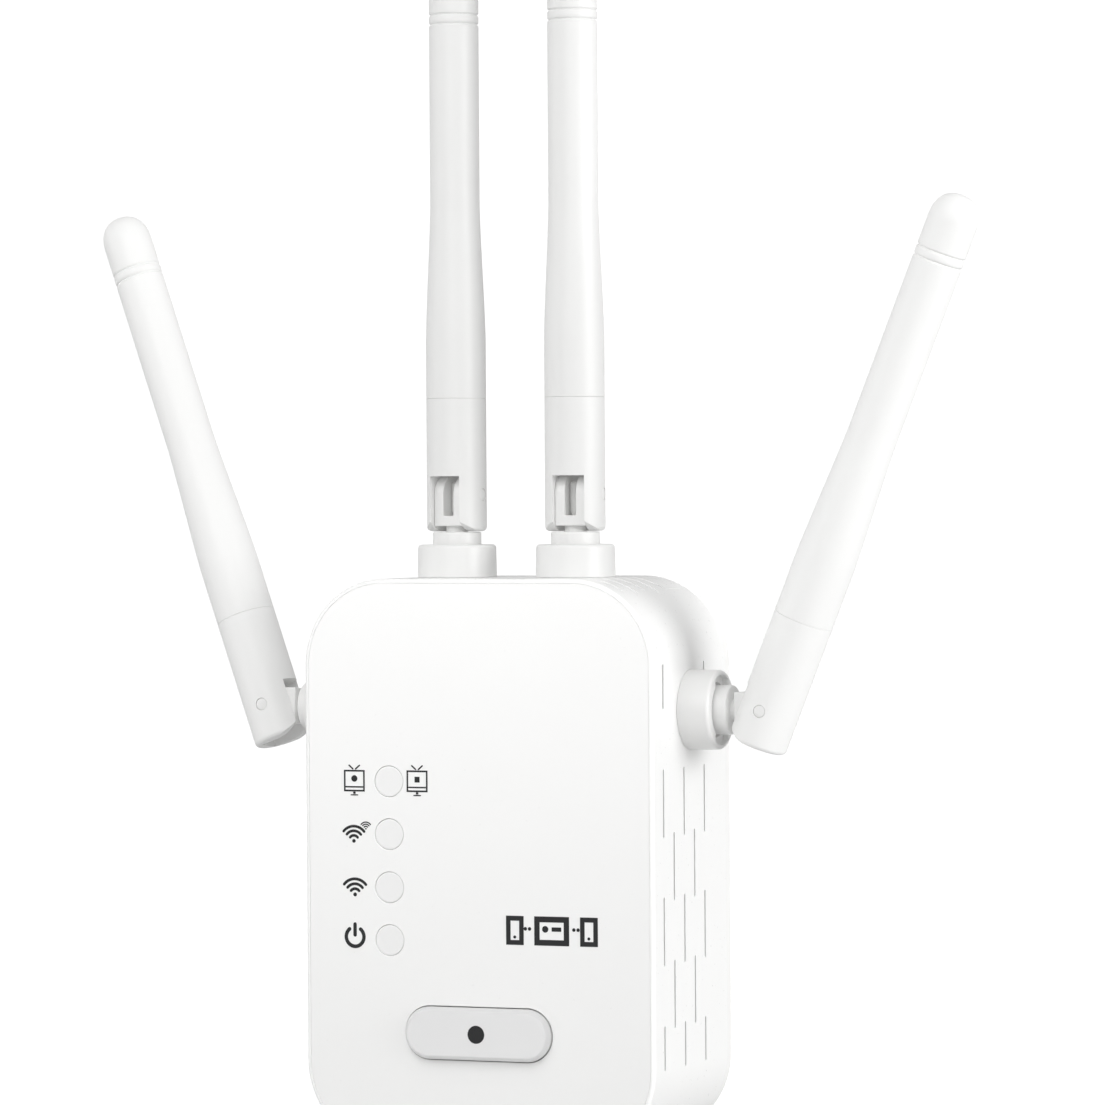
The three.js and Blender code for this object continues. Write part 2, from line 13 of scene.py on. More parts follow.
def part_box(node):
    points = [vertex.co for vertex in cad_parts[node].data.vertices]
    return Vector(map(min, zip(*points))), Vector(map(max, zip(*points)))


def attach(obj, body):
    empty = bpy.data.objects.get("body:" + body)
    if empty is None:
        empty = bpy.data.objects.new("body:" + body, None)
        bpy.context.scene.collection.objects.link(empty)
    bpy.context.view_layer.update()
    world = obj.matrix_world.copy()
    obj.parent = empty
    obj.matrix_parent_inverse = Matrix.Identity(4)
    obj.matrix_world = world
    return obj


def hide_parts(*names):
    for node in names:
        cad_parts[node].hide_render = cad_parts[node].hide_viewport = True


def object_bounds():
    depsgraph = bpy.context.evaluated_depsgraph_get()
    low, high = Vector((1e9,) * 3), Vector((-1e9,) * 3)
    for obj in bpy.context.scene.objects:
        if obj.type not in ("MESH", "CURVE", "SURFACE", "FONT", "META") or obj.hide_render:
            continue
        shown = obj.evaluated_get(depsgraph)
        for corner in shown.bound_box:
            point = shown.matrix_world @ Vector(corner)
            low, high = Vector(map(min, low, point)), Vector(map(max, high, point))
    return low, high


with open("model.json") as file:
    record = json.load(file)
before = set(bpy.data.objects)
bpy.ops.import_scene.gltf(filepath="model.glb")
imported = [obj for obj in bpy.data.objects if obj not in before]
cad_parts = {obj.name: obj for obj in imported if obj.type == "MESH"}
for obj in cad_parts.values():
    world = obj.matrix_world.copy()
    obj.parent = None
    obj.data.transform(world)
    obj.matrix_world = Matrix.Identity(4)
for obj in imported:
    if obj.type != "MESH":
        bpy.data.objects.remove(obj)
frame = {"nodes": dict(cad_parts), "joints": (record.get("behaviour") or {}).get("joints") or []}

CAD_LO, CAD_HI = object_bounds()
JOINTS = {joint["name"]: joint for joint in frame["joints"]}
scene = bpy.context.scene
MM = 0.001
PI = math.pi


def mm_box(node):
    lo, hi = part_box(node)
    return lo / MM, hi / MM


def box_centre(node):
    return tuple((a + b) / 2 for a, b in zip(*mm_box(node)))


def joint_pos(name):
    return Vector(JOINTS[name]["pos_m"]) / MM


def joint_axis(name):
    return Vector(JOINTS[name]["axis"]).normalized()


# ------------------------------------------------------------------ dimensions, mm
# body
HOUSING_LO, HOUSING_HI = mm_box("housing")
BODY_W = HOUSING_HI.x - HOUSING_LO.x
BODY_H = HOUSING_HI.z - HOUSING_LO.z
TOP, SIDE = BODY_H / 2, BODY_W / 2
FRONT, HOUSING_BACK = HOUSING_LO.y, HOUSING_HI.y
CORNER_R = 14.4
CORNER_SEGS = 28
WALL = 1.8
RIM = 0.75                      # width of the housing's edge around the panel

# vents: columns run from front to back, slots are (centre z, length)
VENT_START, VENT_PITCH = 4.6, 4.65
VENT_W, VENT_LONG, VENT_SHORT = 0.6, 11.3, 7.4
VENT_DEPTH, VENT_FLARE = WALL + 1.2, 0.1
TOP_VENT_L = 6.6
EVEN_SLOTS = [(10.5, VENT_LONG), (-10.5, VENT_LONG), (-29.7, VENT_SHORT)]
ODD_SLOTS = [(0.0, VENT_LONG), (-21.1, VENT_LONG)]
SIDE_VENTS = [EVEN_SLOTS + [(29.7, VENT_SHORT)], ODD_SLOTS, EVEN_SLOTS, ODD_SLOTS,
              EVEN_SLOTS + [(31.35, 4.1)]]

# cover screws
SCREW_X, SCREW_Z = 23.7, 38.3
CORNERS = [(sx, sz) for sx in (-1, 1) for sz in (-1, 1)]

# lenses, buttons and sockets
LENSES = [box_centre(f"led_lens_{i}")[::2] for i in range(1, 5)]
BUTTON_LO, BUTTON_HI = mm_box("front_button")
BUTTON_Z = (BUTTON_LO.z + BUTTON_HI.z) / 2
BUTTON_FRONT = BUTTON_LO.y
BUTTON_W, BUTTON_H = 26.2, 8.7
BUTTON_SEGS = 24
RESET_BOTTOM = mm_box("reset_button")[0].z
RESET_AT = box_centre("reset_button")[:2]
JACKS = {label: mm_box("network_jack_" + label) for label in ("left", "right")}
INK_Y = (FRONT - 0.03, FRONT + 0.02)

# plug
PLUG_Z = box_centre("plug_base")[2]
PLUG_W, PLUG_H, PLUG_R, PLUG_GAP = 30, 20, 4, 0.12
PLUG_SEGS = 12
BLADE_T, BLADE_H, BLADE_CLEARANCE = 1.5, 6.35, 0.16

# antennas; stations count outwards along the neck from the body surface
ANTENNA_Y = joint_pos("top_left_swivel").y
TOP_ANTENNA_X = joint_pos("top_right_swivel").x
SIDE_ANTENNA_Z = joint_pos("side_right_swivel").z
PIVOT = (joint_pos("top_left_fold") - joint_pos("top_left_swivel")).length
COLLAR_R, COLLAR_H, COLLAR_FILLET = 6.6, 5.5, 0.6
NOTCH_R, NOTCH_HALF = 5.85, 3.0
CUP_R, SPIGOT_R, BORE_R = 4.6, 5.2, 3.3
RING_R, RING_TOP, SHAFT_R = 4.1, 7.6, 1.8
KNUCKLE_W, KNUCKLE_R, KNUCKLE_BASE = 5.42, 3.03, 8.6
FORK_W, FORK_BASE = 1.9, 10.35
STUB_R, STUB_END = 1.0, 4.91
SLEEVE_R, SLEEVE_L = 5.05, 22.4
SLEEVE_START = mm_box("sleeve_top_left")[0].z - TOP
SLEEVE_TOP = SLEEVE_START + SLEEVE_L
WINDOW_W, WINDOW_TOP, WINDOW_BACK, CHEEK_R = 5.47, 3.12, 3.15, 6.2
TIP_R = 4.18
ANTENNA_L = mm_box("radome_top_left")[1].z - mm_box("sleeve_top_left")[0].z


# ------------------------------------------------------------------ point helpers
def steps(start, end, count):
    return [start + (end - start) * i / count for i in range(count + 1)]


def arc(cu, cv, ru, rv, degrees):
    """Points of an arc; a negative radius mirrors it."""
    return [(cu + ru * math.cos(math.radians(a)), cv + rv * math.sin(math.radians(a)))
            for a in degrees]


def circle(radius, count, at=(0, 0)):
    angles = [2 * PI * i / count for i in range(count)]
    return [(at[0] + radius * math.cos(a), at[1] + radius * math.sin(a)) for a in angles]


def outline(w, h, radius, segs, at=(0, 0)):
    """A rounded rectangle."""
    points = []
    for su, sv, start in ((1, 1, 0), (-1, 1, 90), (-1, -1, 180), (1, -1, 270)):
        points += arc(su * (w / 2 - radius), sv * (h / 2 - radius), radius, radius,
                      steps(start, start + 90, segs))
    return [(u + at[0], v + at[1]) for u, v in points]


def stadium(length, width, end_segs, side_segs):
    radius = width / 2
    half = length / 2 - radius
    along = [2 * half * i / side_segs for i in range(1, side_segs)]
    return (arc(half, 0, radius, radius, steps(-90, 90, end_segs))
            + [(half - d, radius) for d in along]
            + arc(-half, 0, radius, radius, steps(90, 270, end_segs))
            + [(-half + d, -radius) for d in along])


def place(axis, u, v, station):
    """A point at a station on an axis; u and v are the other two axes in order."""
    return {"x": (station, u, v), "y": (u, station, v), "z": (u, v, station)}[axis]


# ------------------------------------------------------------------ solids, added to a bmesh
def skin(bm, rings, closed=False, capped=True):
    """Join rings of points; closed joins the last ring to the first."""
    rows = [[bm.verts.new(point) for point in ring] for ring in rings]
    pairs = list(zip(rows, rows[1:]))
    if closed:
        pairs.append((rows[-1], rows[0]))
    count = len(rows[0])
    for a, b in pairs:
        for i in range(count):
            j = (i + 1) % count
            bm.faces.new((a[i], a[j], b[j], b[i]))
    if capped and not closed:
        bm.faces.new(rows[0][::-1])
        bm.faces.new(rows[-1])
    return rows


def sweep(bm, profile, w, h, radius, segs, cz=0.0, closed=False):
    """Skin rounded rectangles in X and Z; profile is (inset, y) pairs."""
    rings = []
    for inset, y in profile:
        points = outline(w - 2 * inset, h - 2 * inset, radius - inset, segs, (0, cz))
        rings.append([(x, y, z) for x, z in points])
    skin(bm, rings, closed)
    return bm


def body_sweep(profile, closed=False):
    return sweep(bmesh.new(), profile, BODY_W, BODY_H, CORNER_R, CORNER_SEGS, closed=closed)


def extrude(bm, points, start, end, axis="y"):
    skin(bm, [[place(axis, u, v, station) for u, v in points] for station in (start, end)])
    return bm


def lathe(bm, profile, segs=64, axis="z", at=(0, 0), closed=False):
    """Turned solid; profile is (radius, station) pairs."""
    rows = []
    for radius, station in profile:
        ring = circle(radius, segs, at) if radius >= 1e-6 else [at]
        rows.append([bm.verts.new(place(axis, u, v, station)) for u, v in ring])
    pairs = list(zip(rows, rows[1:]))
    if closed:
        pairs.append((rows[-1], rows[0]))
    for a, b in pairs:
        for i in range(segs):
            j = (i + 1) % segs
            if len(a) == 1:
                bm.faces.new((a[0], b[i], b[j]))
            elif len(b) == 1:
                bm.faces.new((a[i], b[0], a[j]))
            else:
                bm.faces.new((a[i], b[i], b[j], a[j]))
    return bm


def rod(bm, axis, radius, start, end, at=(0, 0), segs=48, edge=0.0):
    """A cylinder, with eased ends if an edge is given."""
    profile = [(radius, start), (radius, end)]
    if edge:
        ease = 0.29 * edge
        profile = [(radius - edge, start), (radius - ease, start + ease), (radius, start + edge),
                   (radius, end - edge), (radius - ease, end - ease), (radius - edge, end)]
    return lathe(bm, [(0, start)] + profile + [(0, end)], segs, axis, at)


def block(bm, xs, ys, zs, edge=0.0):
    """A box over three (low, high) spans."""
    verts = bmesh.ops.create_cube(bm, size=1.0)["verts"]
    for v in verts:
        v.co = [(a + b) / 2 + c * (b - a) for (a, b), c in zip((xs, ys, zs), v.co)]
    if edge:
        edges = list({e for v in verts for e in v.link_edges})
        bmesh.ops.bevel(bm, geom=edges, offset=edge, segments=2, profile=0.6, affect="EDGES")
    return bm


def slot_cutter(bm, surface, length, width, depth, flare, end_segs, side_segs=1):
    """A pill-shaped cutter with a flared mouth; surface(s, t, height) places it."""
    rings = []
    # (height above the surface, outward growth)
    for height, out in ((-depth, 0.0), (-flare, 0.0), (-0.35 * flare, 0.25 * flare),
                        (0.0, flare), (0.6, flare + 0.25)):
        pill = stadium(length + 2 * out, width + 2 * out, end_segs, side_segs)
        rings.append([surface(s, t, height) for s, t in pill])
    rows = skin(bm, rings, capped=False)
    count = len(rows[0])
    middle = end_segs // 2
    # cap with strips between points of equal s and opposite t
    for row in (rows[0], rows[-1]):
        left = [row[(middle + i) % count] for i in range(count // 2 + 1)]
        right = [row[(middle - i) % count] for i in range(count // 2 + 1)]
        for i in range(count // 2):
            quad = (left[i], left[i + 1], right[i + 1], right[i])
            bm.faces.new(list(dict.fromkeys(quad)))     # the two end strips are triangles


# ------------------------------------------------------------------ mesh operations
def to_object(bm, name="tmp"):
    bmesh.ops.recalc_face_normals(bm, faces=bm.faces)
    mesh = bpy.data.meshes.new(name)
    bm.to_mesh(mesh)
    bm.free()
    ob = bpy.data.objects.new(name, mesh)
    scene.collection.objects.link(ob)
    return ob


def discard(ob):
    mesh = ob.data
    bpy.data.objects.remove(ob)
    bpy.data.meshes.remove(mesh)


def baked(ob):
    """The object's mesh after its modifiers; the object is removed."""
    bpy.context.view_layer.update()
    evaluated = ob.evaluated_get(bpy.context.evaluated_depsgraph_get())
    bm = bmesh.new()
    bm.from_mesh(evaluated.to_mesh())
    evaluated.to_mesh_clear()
    discard(ob)
    return bm


def boolean(bm, other, how="DIFFERENCE"):
    """Combine two solids; both inputs are used up."""
    target, tool = to_object(bm), to_object(other)
    modifier = target.modifiers.new("b", "BOOLEAN")
    modifier.object = tool
    modifier.operation = how
    modifier.solver = "EXACT"
    out = baked(target)
    discard(tool)
    bmesh.ops.remove_doubles(out, verts=out.verts, dist=1e-4)
    bmesh.ops.dissolve_degenerate(out, edges=out.edges, dist=1e-4)
    return out


def rounded(bm, width, segments, angle):
    """Bevel every edge sharper than the angle in degrees."""
    ob = to_object(bm)
    bevel = ob.modifiers.new("v", "BEVEL")
    bevel.width = width
    bevel.segments = segments
    bevel.limit_method = "ANGLE"
    bevel.angle_limit = math.radians(angle)
    bevel.use_clamp_overlap = True
    bevel.miter_outer = "MITER_ARC"
    out = baked(ob)
    bmesh.ops.remove_doubles(out, verts=out.verts, dist=1e-4)
    return out


def piece(name, bm, mat, body, replaces=None, matrix=None, smooth=32, weighted=True):
    """Turn a solid in mm into a finished object; smooth is the sharp-edge angle in degrees."""
    if matrix is not None:
        bm.transform(matrix)
    bm.transform(Matrix.Scale(MM, 4))
    ob = to_object(bm, name)
    mesh = ob.data
    mesh.materials.append(mat)
    for polygon in mesh.polygons:
        polygon.use_smooth = True
    mesh.set_sharp_from_angle(angle=math.radians(smooth))
    if weighted:
        normals = ob.modifiers.new("normals", "WEIGHTED_NORMAL")
        normals.keep_sharp = True
        normals.weight = 60
    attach(ob, body)
    if replaces:
        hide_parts(replaces)


# ------------------------------------------------------------------ materials
def empty_tree(owner):
    owner.use_nodes = True
    owner.node_tree.nodes.clear()
    return owner.node_tree


def add_node(tree, kind, inputs=None):
    node = tree.nodes.new(kind)
    for name, value in (inputs or {}).items():
        node.inputs[name].default_value = value
    return node


def material(name, color, rough, tint, grain, bump, rough_var=0.05, metallic=0.0, coat=0.0,
             tint_scale=45.0, stretch=(1, 1, 1), painted_glow=0.0):
    """A base colour with broad tint and fine grain.

    tint: depth of the colour variation; tint_scale and grain: the two noise scales;
    bump: grain relief; rough_var: roughness swing; stretch: noise scale along each axis;
    painted_glow: painted light, a faint glow in the base colour that lifts deep shade.
    """
    mat = bpy.data.materials.new(name)
    tree = empty_tree(mat)
    link = tree.links.new
    out = add_node(tree, "ShaderNodeOutputMaterial")
    bsdf = add_node(tree, "ShaderNodeBsdfPrincipled", {
        "Metallic": metallic, "Coat Weight": coat, "Coat Roughness": 0.08})
    link(bsdf.outputs[0], out.inputs[0])
    coords = add_node(tree, "ShaderNodeTexCoord")
    mapping = add_node(tree, "ShaderNodeMapping", {"Scale": stretch})
    link(coords.outputs["Object"], mapping.inputs["Vector"])
    broad = add_node(tree, "ShaderNodeTexNoise", {"Scale": tint_scale, "Detail": 3})
    link(mapping.outputs[0], broad.inputs["Vector"])
    fine = add_node(tree, "ShaderNodeTexNoise", {"Scale": grain, "Detail": 4, "Roughness": 0.6})
    link(mapping.outputs[0], fine.inputs["Vector"])
    mix = tree.nodes.new("ShaderNodeMix")
    mix.data_type = "RGBA"
    dark = [max(0.0, c * (1 - tint)) for c in color]
    light = [min(1.0, c * (1 + tint * 0.5)) for c in color]
    mix.inputs["A"].default_value = (*dark, 1)
    mix.inputs["B"].default_value = (*light, 1)
    link(broad.outputs["Fac"], mix.inputs["Factor"])
    link(mix.outputs["Result"], bsdf.inputs["Base Color"])
    roughness = add_node(tree, "ShaderNodeMapRange", {
        "From Min": 0.3, "From Max": 0.7,
        "To Min": max(0.02, rough - rough_var), "To Max": min(1.0, rough + rough_var)})
    link(fine.outputs["Fac"], roughness.inputs["Value"])
    link(roughness.outputs[0], bsdf.inputs["Roughness"])
    relief = add_node(tree, "ShaderNodeBump", {"Strength": bump, "Distance": 0.00008})
    link(fine.outputs["Fac"], relief.inputs["Height"])
    link(relief.outputs[0], bsdf.inputs["Normal"])
    # painted light: an emission glow, not a lamp, that lifts the deep shade in hollows
    if painted_glow:
        bsdf.inputs["Emission Color"].default_value = (*color, 1)
        bsdf.inputs["Emission Strength"].default_value = painted_glow
    return mat


# white and grey plastics
SHELL = material("white_gloss_plastic", (0.90, 0.90, 0.893), rough=0.30, tint=0.010,
                 grain=1500, bump=0.02, rough_var=0.03, coat=0.08)
# greyer than the shell plastic, with a painted glow lifting its deep shade
COLLAR = material("white_collar_plastic", (0.745, 0.745, 0.738), rough=0.34, tint=0.012,
                  grain=2200, bump=0.05, painted_glow=0.06)
REAR = material("white_textured_plastic", (0.87, 0.87, 0.86), rough=0.55, tint=0.015,
                grain=3200, bump=0.35, rough_var=0.08)
# painted shade: one antenna plastic in two copies, darker on the top pair and lighter on the side
# pair, both with a painted glow lifting deep shade
ANTENNA_SHADED_TOP = material("white_antenna_plastic", (0.705, 0.705, 0.698), rough=0.42, tint=0.012,
                   grain=2600, bump=0.08, rough_var=0.06, painted_glow=0.09)
ANTENNA_SIDE = material("white_antenna_plastic_side", (0.80, 0.80, 0.793), rough=0.42,
                        tint=0.012, grain=2600, bump=0.08, rough_var=0.06, painted_glow=0.06)
# the neck plastic carries a painted glow lifting its deep shade
NECK = material("white_neck_plastic", (0.76, 0.76, 0.752), rough=0.40, tint=0.015,
                grain=2600, bump=0.08, rough_var=0.06, painted_glow=0.07)
GREY = material("pale_grey_button_plastic", (0.785, 0.785, 0.785), rough=0.36, tint=0.012,
                grain=2400, bump=0.10)
LENS = material("frosted_lens", (0.85, 0.85, 0.845), rough=0.34, tint=0.006,
                grain=1800, bump=0.03, tint_scale=120)
# partly the jacket's own grey, partly painted light: lightened and given a painted glow to lift
# the deep shade in the fork slot
CABLE = material("cable_jacket_with_painted_light", (0.64, 0.64, 0.63), rough=0.5, tint=0.1,
                 grain=3000, bump=0.2, painted_glow=0.08)
# blacks
PRINT = material("black_ink", (0.012, 0.012, 0.013), rough=0.45, tint=0.2, grain=5000, bump=0.1)
BLACK = material("black_plastic", (0.035, 0.035, 0.037), rough=0.45, tint=0.1,
                 grain=2600, bump=0.2, rough_var=0.08)
# metals
NICKEL = material("nickel_plate", (0.78, 0.77, 0.74), rough=0.22, tint=0.04,
                  grain=1400, bump=0.08, metallic=1.0, stretch=(1, 0.12, 1))
STEEL = material("zinc_plated_steel", (0.62, 0.62, 0.63), rough=0.3, tint=0.08,
                 grain=2400, bump=0.15, metallic=1.0)
TIN = material("tinned_steel", (0.72, 0.73, 0.74), rough=0.34, tint=0.06,
               grain=1800, bump=0.12, metallic=1.0, stretch=(1, 1, 0.15))
BRASS = material("brass", (0.78, 0.60, 0.28), rough=0.3, tint=0.06,
                 grain=2000, bump=0.1, metallic=1.0, stretch=(1, 1, 0.1))
GOLD = material("gold_contact", (0.90, 0.70, 0.32), rough=0.22, tint=0.04,
                grain=2000, bump=0.06, metallic=1.0)
# electronics and insulators
BOARD = material("solder_resist", (0.035, 0.20, 0.09), rough=0.38, tint=0.35,
                 grain=1600, bump=0.25, tint_scale=700, coat=0.3)
BROWN = material("phenolic_brown", (0.45, 0.30, 0.12), rough=0.5, tint=0.15,
                 grain=1800, bump=0.3)
SLEEVING = material("shrink_sleeve", (0.05, 0.05, 0.07), rough=0.3, tint=0.1,
                    grain=1500, bump=0.1)
CERAMIC = material("led_ceramic", (0.86, 0.80, 0.52), rough=0.35, tint=0.05,
                   grain=2500, bump=0.1)
INSULATOR = material("moulded_insulator", (0.84, 0.84, 0.82), rough=0.45, tint=0.02,
                     grain=2600, bump=0.15)


# ------------------------------------------------------------------ housing
def cut_vents(cut):
    """Slots in both side walls, over both top corners and along the top."""
    corner_x, corner_z = SIDE - CORNER_R, TOP - CORNER_R
    for i, slots in enumerate(SIDE_VENTS):
        y0 = FRONT + VENT_START + VENT_PITCH * i
        for sx in (-1, 1):
            for z0, length in slots:
                slot_cutter(cut, lambda s, t, h: (sx * (SIDE + h), y0 + t, z0 + s),
                            length, VENT_W, VENT_DEPTH, VENT_FLARE, 6)
        # the outer top slots run over the start of each corner
        start = 18.6 if i % 2 else 17.9
        a0 = math.asin((start - corner_x) / CORNER_R)
        a1 = math.asin((start + TOP_VENT_L - corner_x) / CORNER_R)

        def on_corner(s, t, h):
            angle = (a0 + a1) / 2 + s / CORNER_R
            return (sx * (corner_x + (CORNER_R + h) * math.sin(angle)), y0 + t,
                    corner_z + (CORNER_R + h) * math.cos(angle))

        for sx in (-1, 1):
            slot_cutter(cut, on_corner, (a1 - a0) * CORNER_R, VENT_W,
                        VENT_DEPTH, VENT_FLARE, 6, 10)
        if i % 2 == 0:
            slot_cutter(cut, lambda s, t, h: (s, y0 + t, TOP + h), TOP_VENT_L, VENT_W,
                        VENT_DEPTH, VENT_FLARE, 6)


def cut_antenna_holes(cut):
    hole_r = SPIGOT_R + 0.15
    for x in (-TOP_ANTENNA_X, TOP_ANTENNA_X):
        rod(cut, "z", hole_r, TOP - 4, TOP + 1, (x, ANTENNA_Y))
    for sx in (-1, 1):
        start, end = sorted((sx * (SIDE - 4), sx * (SIDE + 1)))
        rod(cut, "x", hole_r, start, end, (ANTENNA_Y, SIDE_ANTENNA_Z))


def bottom_cutter():
    """Openings for the two sockets and the reset button."""
    cut = bmesh.new()
    clearance = 0.36
    for lo, hi in JACKS.values():
        points = outline(hi.x - lo.x + clearance, hi.y - lo.y + clearance, 0.5, 6,
                         ((lo.x + hi.x) / 2, (lo.y + hi.y) / 2))
        extrude(cut, points, -TOP - 1, -TOP + 3, "z")
    flared = [(0, -TOP - 0.5), (2.35, -TOP - 0.5), (1.62, -TOP + 0.2), (1.62, -TOP + 3),
              (0, -TOP + 3)]
    return lathe(cut, flared, 40, "z", RESET_AT)


def add_screw_bosses(bm):
    """Hollow bosses, each with ribs to the nearest side and end walls."""
    boss = [(3.2, -12.5), (3.2, -6), (1.5, -6), (1.5, -11.9), (1.5, -12.5)]
    rib_y, rib_half, rib_start = (-12.4, -6.1), 0.8, 3.1
    wall_x, wall_z = 29.3, 45.4
    for sx, sz in CORNERS:
        x, z = sx * SCREW_X, sz * SCREW_Z
        lathe(bm, boss, 32, "y", (x, z), closed=True)
        block(bm, sorted((x + sx * rib_start, sx * wall_x)), rib_y, (z - rib_half, z + rib_half))
        block(bm, (x - rib_half, x + rib_half), rib_y, sorted((z + sz * rib_start, sz * wall_z)))


def make_housing():
    edge_r = 0.6
    ledge = FRONT + 1.62
    # (inset, y): back edge, outer wall, rounded front edge, panel seat, inner wall
    profile = [(0.04, HOUSING_BACK + 0.04), (0, HOUSING_BACK), (0, FRONT + edge_r)]
    profile += arc(edge_r, FRONT + edge_r, -edge_r, -edge_r, (18, 36, 54, 72, 90))
    profile += [(RIM - 0.05, FRONT), (RIM - 0.01, FRONT + 0.015), (RIM, FRONT + 0.05),
                (RIM, ledge), (WALL, ledge),
                (WALL, HOUSING_BACK - 0.02), (WALL - 0.02, HOUSING_BACK + 0.04)]
    cut = bmesh.new()
    cut_vents(cut)
    cut_antenna_holes(cut)
    bm = boolean(body_sweep(profile, closed=True), cut)
    bm = boolean(bm, bottom_cutter())
    add_screw_bosses(bm)
    piece("housing_shell", bm, SHELL, "enclosure", "housing")


# ------------------------------------------------------------------ front
def make_front_panel():
    inset = RIM + 0.012
    bm = body_sweep([(inset + 0.10, FRONT), (inset + 0.035, FRONT + 0.02),
                     (inset, FRONT + 0.09), (inset, FRONT + 1.6)])
    lens_hole = [(0, FRONT - 0.5), (3.3, FRONT - 0.5), (2.70, FRONT - 0.02),
                 (2.63, FRONT + 0.04), (2.61, FRONT + 0.12), (2.61, FRONT + 3), (0, FRONT + 3)]
    button_hole = [(-0.80, FRONT - 0.6), (-0.21, FRONT - 0.02), (-0.17, FRONT + 0.03),
                   (-0.16, FRONT + 0.08), (-0.16, FRONT + 3)]
    cut = bmesh.new()
    for lens in LENSES:
        lathe(cut, lens_hole, 64, "y", lens)
    sweep(cut, button_hole, BUTTON_W, BUTTON_H, BUTTON_H / 2, BUTTON_SEGS, BUTTON_Z)
    bm = boolean(bm, cut)
    # tabs behind the panel: x span, z span
    for xs, zs in (((27.9, 29.1), (12, 18)), ((27.9, 29.1), (-18, -12)),
                   ((-29.1, -27.9), (12, 18)), ((-29.1, -27.9), (-18, -12)),
                   ((-4, 4), (44.2, 45.35))):
        block(bm, xs, (FRONT + 1.61, FRONT + 5.4), zs, 0.2)
    piece("front_panel_plate", bm, SHELL, "enclosure", "front_panel")


def make_light_pipes():
    face = FRONT + 0.05
    # (radius, y): domed face, flange, tapered pipe
    profile = [(0, face + 0.02), (1.4, face + 0.015), (2.2, face + 0.004), (2.45, face),
               (2.52, face + 0.03), (2.55, face + 0.10), (2.55, FRONT + 2.0),
               (3.3, FRONT + 2.05), (3.3, FRONT + 2.7),
               (1.55, FRONT + 2.75), (1.45, -19.15), (1.35, -19.0), (0, -19.0)]
    for i, lens in enumerate(LENSES, 1):
        bm = lathe(bmesh.new(), profile, 64, "y", lens)
        piece(f"light_pipe_{i}", bm, LENS, "enclosure", f"led_lens_{i}")


def make_front_button():
    # (inset, y behind the button's front): shallow dish, raised rim, sloping flank
    flank = [(3.6, 0.03), (2.0, 0.025), (1.2, 0.012), (0.78, 0), (0.66, 0.02), (0.56, 0.085),
             (0.08, 0.74), (0.02, 0.83), (0.0, 0.92)]
    profile = [(inset, BUTTON_FRONT + y) for inset, y in flank] + [(0.0, FRONT + 2.4)]
    bm = sweep(bmesh.new(), profile, BUTTON_W, BUTTON_H, BUTTON_H / 2, BUTTON_SEGS, BUTTON_Z)
    # flange and rear stem
    sweep(bm, [(0, FRONT + 1.95), (0, FRONT + 2.9)], 28.7, 11.2, 5.6, 16, BUTTON_Z)
    rod(bm, "y", 2.0, FRONT + 2.5, BUTTON_HI.y, (0, BUTTON_Z), 32, 0.15)
    piece("button_pad", bm, GREY, "front_button", "front_button")


# ------------------------------------------------------------------ prints: thin ink solids
def ink_strip(bm, points, width):
    """A round-ended line of constant width through points in X and Z."""
    points = [Vector(p) for p in points]
    runs = [(b - a).normalized() for a, b in zip(points, points[1:])]
    half = width / 2
    left, right = [], []
    for i, point in enumerate(points):
        before = runs[max(i - 1, 0)]
        after = runs[min(i, len(runs) - 1)]
        along = (before + after).normalized()
        offset = Vector((-along.y, along.x)) * (half / along.dot(before))
        left.append(point + offset)
        right.append(point - offset)

    def end_cap(tip, outward):
        base = math.atan2(outward.y, outward.x) + PI / 2
        return [tip + Vector((math.cos(base - PI * i / 6), math.sin(base - PI * i / 6))) * half
                for i in range(1, 6)]

    ring = left + end_cap(points[-1], runs[-1]) + right[::-1] + end_cap(points[0], -runs[0])
    extrude(bm, ring, *INK_Y)


def ink_disc(bm, x, z, radius):
    extrude(bm, circle(radius, 28, (x, z)), *INK_Y)


def rectangle(x0, x1, z0, z1):
    return [(x0, z0), (x1, z0), (x1, z1), (x0, z1)]


def ink_rect(bm, x0, x1, z0, z1):
    extrude(bm, rectangle(x0, x1, z0, z1), *INK_Y)


def ink_frame(bm, x0, x1, z0, z1, w):
    """A square-cornered outline of line width w."""
    shapes = (rectangle(x0, x1, z0, z1), rectangle(x0 + w, x1 - w, z0 + w, z1 - w))
    (outer_a, inner_a), (outer_b, inner_b) = [
        [[bm.verts.new((x, y, z)) for x, z in shape] for shape in shapes] for y in INK_Y]
    for i in range(4):
        j = (i + 1) % 4
        bm.faces.new((outer_a[i], outer_a[j], outer_b[j], outer_b[i]))
        bm.faces.new((inner_a[i], inner_b[i], inner_b[j], inner_a[j]))
        bm.faces.new((outer_a[i], inner_a[i], inner_a[j], outer_a[j]))
        bm.faces.new((outer_b[i], outer_b[j], inner_b[j], inner_b[i]))


def ink_fan(bm, x, z, size):
    """A dot with three arcs above it."""
    ink_disc(bm, x, z, size * 0.095)
    for k in range(1, 4):
        radius = size * (0.04 + 0.235 * k)
        ink_strip(bm, arc(x, z, radius, radius, steps(140, 40, 16)), size * 0.135)


def ink_screen(bm, x, z):
    """A framed screen with two feelers above and a foot below."""
    ink_frame(bm, x - 1.9, x + 1.9, z - 1.75, z + 1.85, 0.28)
    ink_rect(bm, x - 1.6, x + 1.6, z - 1.1, z - 0.86)
    for sx in (-1, 1):
        ink_strip(bm, [(x + sx * 0.25, z + 2.02), (x + sx * 0.95, z + 2.62)], 0.24)
    ink_rect(bm, x - 0.22, x + 0.22, z - 2.15, z - 1.78)
    ink_strip(bm, [(x - 0.6, z - 2.32), (x + 0.6, z - 2.32)], 0.2)


def ink_piece(name, bm, body):
    piece(name, bm, PRINT, body, smooth=20, weighted=False)


